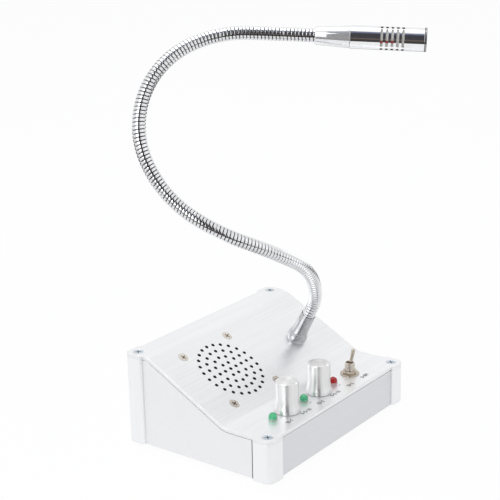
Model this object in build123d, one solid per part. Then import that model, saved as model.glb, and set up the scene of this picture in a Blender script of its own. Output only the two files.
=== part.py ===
from build123d import *
from math import atan2, cos, pi, radians, sin, tan
import os

# Counter intercom, master unit: a sloped aluminium desk case with a loudspeaker, two volume knobs, three
# lamps, a toggle switch and a microphone on a ribbed gooseneck. Lengths in mm, angles in degrees.
# Origin: on the counter, under the middle of the case. X to the right, Y to the back, Z up.

# Case
case_width = 143.0
case_depth = 104.3
rear_height = 55.0
front_height = 25.2
rear_strip = 16.7
front_strip = 32.9
sheet = 2.0
bend_radius = 9.5
cut_overrun = 1.0
slip_gap = 0.1
thread_gap = 0.05

# Corner posts and the panels in their slots
post_width = 12.9
post_proud = 1.8
post_corner_radius = 5.0
post_shoulder_radius = 1.7
panel_thickness = 2.0
slot_depth = 3.0
cover_screw_inset = 6.05
base_screw_inset = 7.6

# Feet
foot_height = 2.0
foot_radius = 5.0
foot_inset = 19.0

# Screws that hold the cover, the bottom and the loudspeaker
cover_screw_head_radius = 3.0
cover_screw_radius = 1.5
cover_screw_length = 10.0
base_screw_head_radius = 2.4
base_screw_radius = 1.25
base_screw_length = 8.0
speaker_screw_length = 7.5
speaker_screw_turn = 20.0
screw_rim = 0.25
recess_width = 0.7
recess_span_share = 0.6
recess_depth_share = 0.7

# Loudspeaker, its place on the slope and its grille holes
speaker_x = -27.1
speaker_up_slope = 31.1
speaker_screw_pitch = 42.0
speaker_flange = 50.0
speaker_flange_corner = 3.0
speaker_flange_thickness = 1.0
basket_radius = 23.6
basket_back_radius = 14.5
basket_depth = 12.0
basket_wall = 0.8
basket_ledge_width = 2.2
basket_ledge_drop = 2.0
cone_thickness = 0.5
cone_drop = 7.0
coil_radius = 6.6
coil_reach = 4.5
magnet_radius = 14.0
magnet_thickness = 8.5
coil_gap = 0.6
dust_cap_rise = 2.4
cloth_thickness = 0.5
grille_hole_radius = 1.0
grille_ring_pitch = 5.07
grille_ring_counts = (6, 12, 18, 24)
speaker_nut_width = 5.5
speaker_nut_height = 2.4

# Controls in a row on the front strip
control_row = 17.3
green_lamp_places = (-44.8, -13.9)
red_lamp_place = 17.2
knob_places = (-30.6, 1.9)
switch_place = 35.6

# Lamps
lamp_radius = 2.5
lamp_height = 4.2
lamp_flange_radius = 2.9
lamp_flange_height = 1.0
lamp_below = 3.4
lamp_leg = 0.5
lamp_leg_length = 6.0
lamp_leg_pitch = 2.54

# Volume controls
knob_radius = 6.7
knob_base_radius = 7.75
knob_height = 17.8
knob_gap = 0.8
knob_base_height = 2.4
knob_flare_height = 5.2
knob_edge = 0.4
knob_recess_radius = 6.3
knob_recess_depth = 3.0
knob_bush_gap = 0.5
knob_top_wall = 4.0
pointer_width = 1.0
pointer_depth = 0.5
pointer_length = 2.6
shaft_radius = 3.0
shaft_depth_in_pot = 5.0
shaft_running_gap = 0.05
pot_radius = 8.0
pot_height = 8.0
pot_bush_radius = 3.5
pot_bush_height = 6.5
pot_nut_width = 10.0
pot_nut_height = 2.0
pot_washer_radius = 5.6
pot_washer_thickness = 0.5
pot_tab_width = 1.6
pot_tab_length = 5.0
pot_tab_pitch = 4.0
pot_tab_thickness = 0.8

# Toggle switch
switch_body_width = 8.0
switch_body_length = 13.0
switch_body_height = 9.5
switch_bush_radius = 3.0
switch_bush_height = 7.4
switch_nut_width = 8.0
switch_nut_height = 1.6
switch_washer_radius = 5.9
switch_washer_thickness = 0.8
switch_bore_radius = 2.2
switch_ball_radius = 2.1
switch_pivot_depth = 3.2
switch_cavity_width = 5.0
switch_cavity_height = 6.5
switch_tab_width = 2.0
switch_tab_length = 3.6
switch_tab_thickness = 0.8
switch_tab_pitch = 4.7
lever_root_radius = 1.05
lever_tip_radius = 1.5
lever_length = 11.5
lever_tail_length = 4.5
lever_lean = 12.5

# Gooseneck: where it stands on the slope, its ferrule and its ribs
neck_x = 36.6
neck_up_slope = 28.5
ferrule_length = 20.8
ferrule_base_radius = 5.6
ferrule_bulge_radius = 6.25
ferrule_bulge_height = 5.0
ferrule_shoulder_radius = 5.8
ferrule_waist_height = 9.0
ferrule_waist_radius = 4.85
ferrule_mouth_radius = 4.5
ferrule_thread_radius = 4.4
ferrule_thread_length = 7.0
neck_nut_width = 12.0
neck_nut_height = 3.0
neck_radius = 4.0
neck_valley_radius = 3.45
neck_bore_radius = 2.4
rib_pitch = 2.15
rib_crest_share = 0.4
rib_flank_share = 0.2
neck_straight = 5.0
# The arcs from the ferrule to the microphone: length along the centre line, turn in degrees, and the
# side they bend to, in degrees about the neck from the way its steady X axis points
neck_arc_lengths = (12.6, 36.7, 40.9, 32.5, 42.7, 39.6, 39.1, 36.0, 33.1)
neck_arc_turns = (27.2, 38.5, 31.8, 29.3, 36.8, 45.3, 41.8, 31.3, 5.5)
neck_arc_sides = (156.1, 161.4, 104.1, 66.0, -18.0, 18.9, 15.2, -9.4, -59.9)
# Each link of the neck ends in a cone, so that it can lean on the ball of the next one
link_crest_gap = 1.0
link_face_gap = 0.6
ball_radius = 2.1
ball_bore_radius = 1.1
ball_wall = 2.2

# Microphone
tail_length = 20.0
tail_rear_radius = 5.3
tail_front_radius = 6.5
tail_wall = 1.0
tail_rear_wall = 2.5
tail_spigot_length = 6.0
barrel_radius = 6.75
barrel_bore_radius = 5.75
barrel_length = 42.5
nose_length = 1.0
nose_radius = 6.9
nose_bore_radius = 5.6
nose_spigot = 4.0
nose_mesh_thickness = 0.6
nose_mesh_hole_radius = 0.6
nose_mesh_pitch = 1.9
nose_mesh_counts = (1, 6, 12)
sound_slot_count = 5
sound_slot_width = 1.5
sound_slot_pitch = 3.05
sound_slot_start = 17.2
sound_slot_bridge = 2.2
capsule_radius = 4.85
capsule_length = 6.7
boot_length = 9.0
boot_bridge_radius = 2.2
boot_from_nose = 17.2

# Circuit board and what it carries
board_width = 92.0
board_depth = 62.0
board_thickness = 1.6
board_behind = 5.35
standoff_height = 4.0
standoff_radius = 2.5
standoff_inset = 4.0
board_screw_radius = 1.25
board_screw_head_radius = 2.4
board_screw_head_height = 1.6
board_screw_length = 5.0
chip_length = 20.0
chip_width = 4.5
chip_height = 14.0
chip_x = 27.0
chip_back = 18.0
capacitor_radius = 4.0
capacitor_height = 12.0
capacitor_places = ((10.0, 2.0), (10.0, 14.0))

# Sockets in the rear panel
socket_height = 17.5
remote_socket_x = 20.0
remote_bore_radius = 1.8
remote_bush_radius = 3.0
remote_bush_length = 5.6
remote_body_width = 9.0
remote_body_length = 13.0
remote_nut_width = 8.0
remote_nut_height = 2.0
power_socket_x = 40.0
power_bore_radius = 3.0
power_pin_radius = 1.05
power_flange_radius = 5.5
power_flange_height = 1.2
power_body_radius = 4.3
power_body_length = 12.0
power_bore_depth = 9.5

# Leads inside the case
lead_radius = 0.5
mic_lead_radius = 1.0
lead_gap = 0.3
lead_run = 7.0
lead_run_share = 0.45
speaker_lead_pitch = 2.5
speaker_lead_below = 9.0
mic_lead_back = 8.0
mic_lead_in_bore = 4.0

# Places that follow from the sizes above
case_floor = foot_height
front_top = case_floor + front_height
rear_top = case_floor + rear_height
front_y = -case_depth / 2
rear_y = case_depth / 2
low_crease_y = front_y + front_strip
high_crease_y = rear_y - rear_strip
slope_angle = atan2(rear_top - front_top, high_crease_y - low_crease_y)
inner_floor = case_floor + sheet
strip_under = front_top - sheet
panel_inset = post_proud
board_y = rear_y - panel_inset - panel_thickness - board_behind - board_depth / 2
controls_y = front_y + control_row
board_floor = inner_floor + standoff_height
board_top = board_floor + board_thickness
BOTTOM = (Align.CENTER, Align.CENTER, Align.MIN)
TOP = (Align.CENTER, Align.CENTER, Align.MAX)
MIDDLE = (Align.CENTER, Align.CENTER, Align.CENTER)


def slope_plane(x, up_slope, above=0.0):
    """The plane on the slope's top face at a place, its normal pointing out of the case."""
    y = low_crease_y + up_slope * cos(slope_angle) - above * sin(slope_angle)
    z = front_top + up_slope * sin(slope_angle) + above * cos(slope_angle)
    normal = (0, -sin(slope_angle), cos(slope_angle))
    return Plane(origin=(x, y, z), x_dir=(1, 0, 0), z_dir=normal)


def turned(points):
    """A solid of revolution about Z from (radius, height) points."""
    outline = Polyline(*points, close=True)
    return revolve(Plane.XZ * make_face(outline.edges()), Axis.Z)


def ring(outer, inner, height):
    """A washer shape that stands on Z = 0."""
    hole = Cylinder(inner, height + 2 * cut_overrun, align=BOTTOM)
    return Cylinder(outer, height, align=BOTTOM) - Pos(0, 0, -cut_overrun) * hole


def hex_nut(width, hole, height):
    """A hexagon nut that stands on Z = 0."""
    body = extrude(RegularPolygon(width / 2, 6, major_radius=False), height)
    bore = Cylinder(hole, height + 2 * cut_overrun, align=BOTTOM)
    return body - Pos(0, 0, -cut_overrun) * bore


def corners(half_x, half_y):
    """The four corner places of a rectangle about the origin."""
    return [(i * half_x, j * half_y) for j in (-1, 1) for i in (-1, 1)]


def countersunk_screw(head_radius, radius, length):
    """A cross-recessed countersunk screw with its flat top at Z = 0."""
    cone_end = -screw_rim - (head_radius - radius)
    points = [(0, 0), (head_radius, 0), (head_radius, -screw_rim), (radius, cone_end),
              (radius, -length), (0, -length)]
    depth = (head_radius - radius + screw_rim) * recess_depth_share
    arm = Box(2 * head_radius * recess_span_share, recess_width, 2 * depth, align=MIDDLE)
    return turned(points) - arm - Rot(0, 0, 90) * arm


def countersunk_hole(head_radius, radius, depth):
    """The hole that such a screw sits in, cut from Z = 0 down."""
    wide = head_radius + slip_gap
    narrow = radius + slip_gap
    cone_end = -screw_rim - (wide - narrow)
    points = [(0, cut_overrun), (wide, cut_overrun), (wide, -screw_rim), (narrow, cone_end),
              (narrow, -depth), (0, -depth)]
    return turned(points)


def under_cover(drop):
    """The space under the cover's top line, lowered by a drop, across the whole width."""
    shift = drop * tan(slope_angle / 2)
    points = [(front_y, front_top - drop), (low_crease_y + shift, front_top - drop),
              (high_crease_y + shift, rear_top - drop), (rear_y, rear_top - drop)]
    line = FilletPolyline(*points, radius=[bend_radius + drop, bend_radius + sheet - drop])
    rest = Polyline(points[-1], (rear_y, case_floor), (front_y, case_floor), points[0])
    face = Plane.YZ * make_face([*line.edges(), *rest.edges()])
    return extrude(face, amount=case_width / 2, both=True)


def post_outline(i, j):
    """The plan of the corner post at the side i of X and the side j of Y."""
    square = Rectangle(post_width, post_width)
    across = square.vertices().sort_by(lambda v: v.X * i - v.Y * j)
    square = fillet([across[0], across[-1]], post_shoulder_radius)
    outward = square.vertices().sort_by(lambda v: v.X * i + v.Y * j)
    square = fillet(outward[-1], post_corner_radius)
    return Pos(i * (case_width - post_width) / 2, j * (case_depth - post_width) / 2) * square


def cover_outline():
    """The plan of the cover: flush with the panels, with a pad over each post."""
    plan = Rectangle(case_width - 2 * panel_inset, case_depth - 2 * panel_inset)
    for i, j in corners(1, 1):
        square = Pos(i * (case_width - post_width) / 2, j * (case_depth - post_width) / 2)
        plan = plan - square * Rectangle(post_width, post_width) + post_outline(i, j)
    return plan


def cover_screw_places():
    """Plan places of the four screws through the cover into the posts."""
    return corners(case_width / 2 - cover_screw_inset, case_depth / 2 - cover_screw_inset)


def base_screw_places():
    """Plan places of the four screws through the bottom into the posts."""
    return corners(case_width / 2 - base_screw_inset, case_depth / 2 - base_screw_inset)


def top_at(y):
    """The height of the cover's flat strips at a place along Y."""
    return rear_top if y > 0 else front_top


def grille_places():
    """The grille holes: one in the middle and rings around it."""
    places = [(0, 0)]
    for index, count in enumerate(grille_ring_counts, start=1):
        radius = index * grille_ring_pitch
        angles = [2 * pi * step / count for step in range(count)]
        places += [(radius * cos(angle), radius * sin(angle)) for angle in angles]
    return places


def speaker_screw_places():
    """The four screws of the loudspeaker, on the slope."""
    half = speaker_screw_pitch / 2
    return corners(half, half)


def neck_seat(above=0.0):
    """The plane on the slope where the gooseneck's ferrule stands."""
    return slope_plane(neck_x, neck_up_slope, above)


def top_cover():
    """The bent plate with every hole that its controls, screws and grille need."""
    cover = under_cover(0) - under_cover(sheet)
    cover &= extrude(cover_outline(), 2 * rear_top)
    cuts = []
    hole = countersunk_hole(cover_screw_head_radius, cover_screw_radius, sheet + cut_overrun)
    cuts += [Pos(x, y, top_at(y)) * hole for x, y in cover_screw_places()]
    face = slope_plane(speaker_x, speaker_up_slope)
    cuts += [face * Pos(x, y, 0) * hole for x, y in speaker_screw_places()]
    grille = Cylinder(grille_hole_radius, 2 * sheet + 2 * cut_overrun)
    cuts += [face * Pos(x, y, 0) * grille for x, y in grille_places()]
    cuts.append(neck_seat() * Cylinder(ferrule_thread_radius + slip_gap, 2 * sheet + 2 * cut_overrun))
    for x, radius in control_holes():
        cuts.append(Pos(x, controls_y, front_top) * Cylinder(radius, 2 * sheet + 2 * cut_overrun))
    return cover - cuts


def control_holes():
    """The place and radius of each hole in the control row."""
    lamps = [(x, lamp_radius + slip_gap) for x in (*green_lamp_places, red_lamp_place)]
    pots = [(x, pot_bush_radius + slip_gap) for x in knob_places]
    return [*lamps, *pots, (switch_place, switch_bush_radius + slip_gap)]


def bottom_size():
    """Width and depth of the bottom plate, inside the panels."""
    margin = 2 * (panel_inset + panel_thickness + slip_gap)
    return case_width - margin, case_depth - margin


def bottom_plate():
    """The flat bottom, inside the panels and under notches in the posts."""
    width, depth = bottom_size()
    plate = Pos(0, 0, case_floor) * Box(width, depth, sheet, align=BOTTOM)
    hole = Rot(180, 0, 0) * countersunk_hole(base_screw_head_radius, base_screw_radius, sheet + cut_overrun)
    cuts = [Pos(x, y, case_floor) * hole for x, y in base_screw_places()]
    drill = Cylinder(board_screw_radius + slip_gap, 2 * sheet + 2 * cut_overrun)
    cuts += [Pos(x, y, case_floor) * drill for x, y in standoff_places()]
    return plate - cuts


def post(i, j):
    """One corner post with its two panel slots, its screw holes and the notch for the bottom."""
    height = top_at(j) - sheet - case_floor
    body = Pos(0, 0, case_floor) * extrude(post_outline(i, j), height)
    wide = panel_thickness + 2 * slip_gap
    reach = slot_depth + cut_overrun
    slot_x = Box(reach, wide, height + 2 * cut_overrun, align=(Align.MAX, Align.MIN, Align.MIN))
    slot_y = Box(wide, reach, height + 2 * cut_overrun, align=(Align.MIN, Align.MAX, Align.MIN))
    edge = post_width + cut_overrun
    near = panel_inset - slip_gap
    slots = [Pos(edge, near, 0) * slot_x, Pos(near, edge, 0) * slot_y]
    to_corner = Pos(-case_width / 2, -case_depth / 2, case_floor - cut_overrun)
    cut = Compound([to_corner * slot for slot in slots])
    cut = cut if i < 0 else mirror(cut, Plane.YZ)
    cut = cut if j < 0 else mirror(cut, Plane.XZ)
    width, depth = bottom_size()
    notch = Box(width + 2 * slip_gap, depth + 2 * slip_gap, 2 * sheet, align=MIDDLE)
    top_hole = Cylinder(cover_screw_radius + thread_gap, cover_screw_length + cut_overrun, align=TOP)
    low_hole = Cylinder(base_screw_radius + thread_gap, base_screw_length + cut_overrun, align=BOTTOM)
    top_x, top_y = [(x, y) for x, y in cover_screw_places() if x * i > 0 and y * j > 0][0]
    low_x, low_y = [(x, y) for x, y in base_screw_places() if x * i > 0 and y * j > 0][0]
    body -= cut
    body -= Pos(0, 0, case_floor) * notch
    body -= Pos(top_x, top_y, top_at(j)) * top_hole
    return body - Pos(low_x, low_y, case_floor) * low_hole


def panel_span(size):
    """The length of a panel whose ends sit in the slots of two posts."""
    return size - 2 * (post_width - slot_depth + slip_gap)


def front_panel():
    """The low panel in front."""
    height = strip_under - case_floor
    box = Box(panel_span(case_width), panel_thickness, height, align=(Align.CENTER, Align.MIN, Align.MIN))
    return Pos(0, front_y + panel_inset, case_floor) * box


def socket_axis(x):
    """The plane of a rear socket, on the outer face of the rear panel, its normal pointing out."""
    return Plane(origin=(x, rear_y - panel_inset, socket_height), x_dir=(1, 0, 0), z_dir=(0, 1, 0))


def rear_panel():
    """The high panel behind, with the holes of its two sockets."""
    height = rear_top - sheet - case_floor
    box = Box(panel_span(case_width), panel_thickness, height, align=(Align.CENTER, Align.MAX, Align.MIN))
    panel = Pos(0, rear_y - panel_inset, case_floor) * box
    length = 2 * panel_thickness + 2 * cut_overrun
    remote = socket_axis(remote_socket_x) * Cylinder(remote_bush_radius + slip_gap, length)
    power = socket_axis(power_socket_x) * Cylinder(power_body_radius + slip_gap, length)
    return panel - remote - power


def side_panel(side):
    """A panel at the left or right, its top edge under the bent cover."""
    span = panel_span(case_depth)
    outward = Align.MIN if side < 0 else Align.MAX
    box = Box(panel_thickness, span, rear_top, align=(outward, Align.CENTER, Align.MIN))
    box = Pos(side * (case_width / 2 - panel_inset), 0, case_floor) * box
    return box & under_cover(sheet)


def cover_screws():
    """Four screws through the cover into the posts."""
    screw = countersunk_screw(cover_screw_head_radius, cover_screw_radius, cover_screw_length)
    return [Pos(x, y, top_at(y)) * Rot(0, 0, 45) * screw for x, y in cover_screw_places()]


def base_screws():
    """Four screws through the bottom into the posts."""
    screw = Rot(180, 0, 0) * countersunk_screw(base_screw_head_radius, base_screw_radius, base_screw_length)
    return [Pos(x, y, case_floor) * screw for x, y in base_screw_places()]


def foot_places():
    """Plan places of the four feet."""
    return corners(case_width / 2 - foot_inset, case_depth / 2 - foot_inset)


def rubber_feet():
    """Four round feet glued under the bottom."""
    foot = Cylinder(foot_radius, foot_height, align=BOTTOM)
    return [Pos(x, y, 0) * foot for x, y in foot_places()]


def speaker_plane(below=0.0):
    """The plane of the loudspeaker, a depth below the slope's top face."""
    return slope_plane(speaker_x, speaker_up_slope, -below)


def square_sheet(thickness, opening):
    """A square sheet of the loudspeaker with its screw holes, hanging from Z = 0."""
    plan = RectangleRounded(speaker_flange, speaker_flange, speaker_flange_corner)
    plan -= [Pos(x, y) * Circle(cover_screw_radius + slip_gap) for x, y in speaker_screw_places()]
    if opening:
        plan -= Circle(opening)
    return extrude(plan, -thickness)


def speaker_screws():
    """Four screws that hold the loudspeaker under the slope."""
    straight = countersunk_screw(cover_screw_head_radius, cover_screw_radius, speaker_screw_length)
    screw = Rot(0, 0, speaker_screw_turn) * straight
    return [speaker_plane() * Pos(x, y, 0) * screw for x, y in speaker_screw_places()]


def speaker_nuts():
    """The nuts of those screws, behind the flange."""
    nut = hex_nut(speaker_nut_width, cover_screw_radius + thread_gap, speaker_nut_height)
    below = sheet + cloth_thickness + speaker_flange_thickness + speaker_nut_height
    return [speaker_plane(below) * Pos(x, y, 0) * nut for x, y in speaker_screw_places()]


def grille_cloth():
    """The black cloth clamped between the slope and the loudspeaker."""
    return speaker_plane(sheet) * square_sheet(cloth_thickness, 0)


def ledge_depth():
    """How far the basket's ledge lies behind the flange's front face."""
    return speaker_flange_thickness + basket_ledge_drop


def speaker_frame():
    """The pressed basket: square flange, ledge, conical wall and back."""
    flange = square_sheet(speaker_flange_thickness, basket_radius - basket_wall)
    inner = basket_radius - basket_wall
    ledge = ledge_depth()
    back = basket_depth
    wall = turned([(inner, 0), (basket_radius, 0), (basket_radius, -ledge - basket_wall),
                   (basket_back_radius, -back - basket_wall), (coil_radius + coil_gap, -back - basket_wall),
                   (coil_radius + coil_gap, -back), (basket_back_radius - basket_wall, -back),
                   (inner - basket_ledge_width, -ledge - basket_wall), (inner - basket_ledge_width, -ledge),
                   (inner, -ledge)])
    return speaker_plane(sheet + cloth_thickness) * (flange + wall)


def speaker_cone():
    """The paper cone with its lip on the ledge and its coil former in the magnet's gap."""
    outer = basket_radius - basket_wall - slip_gap
    lip = basket_radius - basket_wall - basket_ledge_width - slip_gap
    top = -ledge_depth() + cone_thickness
    low = top - cone_drop
    coil_end = -basket_depth - coil_reach
    points = [(outer, top), (outer, top - cone_thickness), (lip, top - cone_thickness),
              (coil_radius, low - cone_thickness), (coil_radius, coil_end),
              (coil_radius - cone_thickness, coil_end), (coil_radius - cone_thickness, low), (lip, top)]
    return speaker_plane(sheet + cloth_thickness) * turned(points)


def dust_cap():
    """The domed cap in the middle of the cone."""
    radius = coil_radius - cone_thickness - slip_gap
    low = -ledge_depth() + cone_thickness - cone_drop
    bow = (radius**2 + dust_cap_rise**2) / (2 * dust_cap_rise)
    shell = Sphere(bow) - Sphere(bow - cone_thickness)
    cap = Pos(0, 0, dust_cap_rise - bow) * shell & Cylinder(bow, bow, align=BOTTOM)
    return speaker_plane(sheet + cloth_thickness) * Pos(0, 0, low) * cap


def speaker_magnet():
    """The magnet with its ring gap for the coil."""
    body = Cylinder(magnet_radius, magnet_thickness, align=TOP)
    depth = coil_reach - basket_wall + coil_gap
    core = Cylinder(coil_radius - cone_thickness - coil_gap, 2 * depth)
    gap = Cylinder(coil_radius + coil_gap, 2 * depth) - core
    return speaker_plane(sheet + cloth_thickness + basket_depth + basket_wall) * (body - gap)


def lamp(x):
    """One 5 mm lamp pushed up through the front strip, with its two legs."""
    dome = Pos(0, 0, lamp_height - lamp_radius) * Sphere(lamp_radius)
    body_height = lamp_height - lamp_radius + lamp_below
    body = Pos(0, 0, -lamp_below) * Cylinder(lamp_radius, body_height, align=BOTTOM)
    flange = Pos(0, 0, -sheet) * Cylinder(lamp_flange_radius, lamp_flange_height, align=TOP)
    leg = Box(lamp_leg, lamp_leg, lamp_leg_length + lamp_below / 2, align=TOP)
    legs = [Pos(side * lamp_leg_pitch / 2, 0, -lamp_below / 2) * leg for side in (-1, 1)]
    return Pos(x, controls_y, front_top) * (body + dome + flange + legs)


def volume_pots():
    """Two rotary controls under the front strip: can, threaded bush and three tabs."""
    can = Pos(0, 0, -sheet) * Cylinder(pot_radius, pot_height, align=TOP)
    bush = Pos(0, 0, -sheet) * Cylinder(pot_bush_radius, sheet + pot_bush_height, align=BOTTOM)
    bore_depth = sheet + shaft_depth_in_pot + shaft_running_gap
    bore_length = bore_depth + pot_bush_height + cut_overrun
    bore = Pos(0, 0, -bore_depth) * Cylinder(shaft_radius + shaft_running_gap, bore_length, align=BOTTOM)
    tab_length = pot_tab_length + pot_radius / 2
    tab = Box(pot_tab_width, tab_length, pot_tab_thickness, align=(Align.CENTER, Align.MIN, Align.MAX))
    tabs = [Pos(k * pot_tab_pitch, pot_radius / 2, -sheet - pot_height / 2) * tab for k in (-1, 0, 1)]
    pot = can + bush + tabs - bore
    return [Pos(x, controls_y, front_top) * pot for x in knob_places]


def pot_washers():
    """The washers of the rotary controls."""
    washer = ring(pot_washer_radius, pot_bush_radius + slip_gap, pot_washer_thickness)
    return [Pos(x, controls_y, front_top) * washer for x in knob_places]


def pot_nuts():
    """The nuts of the rotary controls, hidden in the knobs."""
    nut = hex_nut(pot_nut_width, pot_bush_radius + thread_gap, pot_nut_height)
    return [Pos(x, controls_y, front_top + pot_washer_thickness) * nut for x in knob_places]


def shaft(x):
    """The shaft that turns in a rotary control and carries its knob."""
    low = -sheet - shaft_depth_in_pot
    high = knob_gap + knob_height - knob_top_wall
    return Pos(x, controls_y, front_top + low) * Cylinder(shaft_radius, high - low, align=BOTTOM)


def knob(x):
    """A turned metal knob with a flared skirt and a pointer notch at the front of its top."""
    flare_top = knob_base_height + knob_flare_height
    line = Polyline((knob_base_radius, knob_base_height), (knob_base_radius, 0), (0, 0), (0, knob_height),
                    (knob_radius - knob_edge, knob_height), (knob_radius, knob_height - knob_edge),
                    (knob_radius, flare_top))
    flare = TangentArc((knob_radius, flare_top), (knob_base_radius, knob_base_height), tangent=(0, -1))
    body = revolve(Plane.XZ * make_face([*line.edges(), flare]), Axis.Z)
    recess = Cylinder(knob_recess_radius, 2 * knob_recess_depth)
    bush_room = Cylinder(pot_bush_radius + knob_bush_gap, 2 * (pot_bush_height - knob_gap + knob_bush_gap))
    bore = Cylinder(shaft_radius + thread_gap, 2 * (knob_height - knob_top_wall))
    notch = Box(pointer_width, 2 * pointer_length, 2 * pointer_depth)
    body = body - recess - bush_room - bore - Pos(0, -knob_radius, knob_height) * notch
    return Pos(x, controls_y, front_top + knob_gap) * body


def switch_body():
    """The toggle switch's case with its threaded bush, lever cavity and three tabs."""
    case = Pos(0, 0, -sheet) * Box(switch_body_width, switch_body_length, switch_body_height, align=TOP)
    bush = Pos(0, 0, -sheet) * Cylinder(switch_bush_radius, sheet + switch_bush_height, align=BOTTOM)
    bore_length = sheet + switch_bush_height + 2 * cut_overrun
    bore = Pos(0, 0, -sheet - cut_overrun) * Cylinder(switch_bore_radius, bore_length, align=BOTTOM)
    hollow = Pos(0, 0, -sheet - basket_wall)
    cavity_length = switch_body_length - 2 * basket_wall
    cavity = hollow * Box(switch_cavity_width, cavity_length, switch_cavity_height, align=TOP)
    tab = Box(switch_tab_width, switch_tab_thickness, 2 * switch_tab_length)
    low = -sheet - switch_body_height
    tabs = [Pos(0, k * switch_tab_pitch, low) * tab for k in (-1, 0, 1)]
    body = (case + bush) - bore - cavity
    below = Pos(0, 0, low) * Box(case_width, case_depth, 2 * switch_tab_length, align=TOP)
    body += [piece & below for piece in tabs]
    return Pos(switch_place, controls_y, front_top) * body


def switch_washer():
    """The wide washer under the toggle switch's nut."""
    washer = ring(switch_washer_radius, switch_bush_radius + slip_gap, switch_washer_thickness)
    return Pos(switch_place, controls_y, front_top) * washer


def switch_nut():
    """The nut on the toggle switch's bush."""
    nut = hex_nut(switch_nut_width, switch_bush_radius + thread_gap, switch_nut_height)
    return Pos(switch_place, controls_y, front_top + switch_washer_thickness) * nut


def switch_pivot():
    """The middle of the lever's ball, inside the bush."""
    return Pos(switch_place, controls_y, front_top + switch_bush_height - switch_pivot_depth)


def switch_lever():
    """The bat of the toggle switch on its ball, leaning to the front."""
    shoulder = lever_length - lever_tip_radius
    points = [(0, 0), (lever_root_radius, 0), (lever_tip_radius, shoulder), (0, shoulder)]
    bat = turned(points) + Pos(0, 0, shoulder) * Sphere(lever_tip_radius)
    tail = Cylinder(lever_root_radius, lever_tail_length, align=TOP)
    return switch_pivot() * Rot(lever_lean, 0, 0) * (bat + tail + Sphere(switch_ball_radius))


def neck_runs():
    """The neck's centre line as (length, turn, side) runs, straight at both ends."""
    arcs = list(zip(neck_arc_lengths, neck_arc_turns, neck_arc_sides))
    return [(neck_straight, 0.0, 0.0), *arcs, (neck_straight, 0.0, 0.0)]


def arc_step(length, turn):
    """The move along an arc that starts along Z and turns towards X."""
    bend = radians(turn)
    chord = 2 * length / bend * sin(bend / 2) if bend else length
    return Pos(chord * sin(bend / 2), 0, chord * cos(bend / 2)) * Rot(0, turn, 0)


def station(distance):
    """The plane across the neck at a distance from the ferrule's mouth, with a steady X axis."""
    place = neck_seat(ferrule_length).location
    runs = neck_runs()
    for index, (length, turn, side) in enumerate(runs):
        is_last = index == len(runs) - 1
        step = distance if is_last else min(distance, length)
        place = place * Rot(0, 0, side) * arc_step(step, turn * step / length) * Rot(0, 0, -side)
        distance -= step
    return Plane(place)


def link_ends():
    """The distances along the neck where its links meet, from the ferrule to the microphone."""
    ends = [0.0]
    for index, length in enumerate(neck_arc_lengths):
        first = neck_straight if index == 0 else 0.0
        last = neck_straight if index == len(neck_arc_lengths) - 1 else 0.0
        ends.append(ends[-1] + first + length + last)
    return ends


def hinge(index):
    """The plane across the neck where link number index, counted from 0, meets what carries it."""
    return station(link_ends()[index])


def circle_at(distance, radius):
    """A circle about the neck's centre line."""
    return Wire.make_circle(radius, station(distance))


def rib_circles(start, end, cone_end):
    """The circles of one link: four for each rib, and a cone at each end that meets a hinge."""
    count = round((end - start) / rib_pitch)
    pitch = (end - start) / count
    flank = pitch * rib_flank_share
    crest = pitch * rib_crest_share
    edge = (pitch - crest) / 2
    rings = []
    for rib in range(count):
        low = start + rib * pitch
        rings += [(low + edge - flank, neck_valley_radius), (low + edge, neck_radius),
                  (low + edge + crest, neck_radius), (low + edge + crest + flank, neck_valley_radius)]
    rings[0] = (start + link_face_gap, ball_radius)
    rings[1] = (start + link_crest_gap, neck_radius)
    if cone_end:
        rings[-2] = (end - link_crest_gap, neck_radius)
        rings[-1] = (end - link_face_gap, neck_bore_radius + slip_gap)
    else:
        rings[-1] = (end, neck_radius)
        rings[-2] = (end - crest, neck_radius)
    return [circle_at(distance, radius) for distance, radius in rings]


def neck_link(index):
    """One ribbed link: a tube along its arc, with a bored ball that sits in the bore before it."""
    start, end = link_ends()[index:index + 2]
    cone_end = index < len(neck_arc_lengths) - 1
    body = Solid.make_loft(rib_circles(start, end, cone_end), ruled=True)
    body += station(start) * Sphere(ball_radius)
    count = round((end - start) / rib_pitch)
    first = start + ball_wall
    stops = [first + (end - first) * k / count for k in range(count + 1)]
    bore = [circle_at(stop, neck_bore_radius) for stop in stops]
    bore.append(circle_at(end + cut_overrun, neck_bore_radius))
    body -= Solid.make_loft(bore, ruled=True)
    eye = Cylinder(ball_bore_radius, 2 * (ball_wall + cut_overrun))
    return body - station(start) * eye


def neck_ferrule():
    """The chromed ferrule with its bulged foot and its threaded tail through the slope."""
    low = -sheet - ferrule_thread_length
    mouth = (ferrule_mouth_radius, ferrule_length - link_crest_gap - slip_gap)
    waist = (ferrule_waist_radius, ferrule_waist_height)
    shoulder = (ferrule_shoulder_radius, ferrule_bulge_height)
    foot = (ferrule_base_radius, 0)
    down = (waist[0] - mouth[0], waist[1] - mouth[1])
    inside = Polyline(waist, mouth, (neck_radius, ferrule_length - link_crest_gap),
                      (neck_bore_radius, ferrule_length - link_face_gap), (neck_bore_radius, low),
                      (ferrule_thread_radius, low), (ferrule_thread_radius, 0), foot)
    bulge = ThreePointArc(foot, (ferrule_bulge_radius, ferrule_bulge_height / 2), shoulder)
    neck_in = TangentArc(waist, shoulder, tangent=down)
    return neck_seat() * revolve(Plane.XZ * make_face([*inside.edges(), bulge, neck_in]), Axis.Z)


def neck_nut():
    """The nut that clamps the ferrule from inside."""
    nut = hex_nut(neck_nut_width, ferrule_thread_radius + thread_gap, neck_nut_height)
    return neck_seat(-sheet - neck_nut_height) * nut


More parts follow.
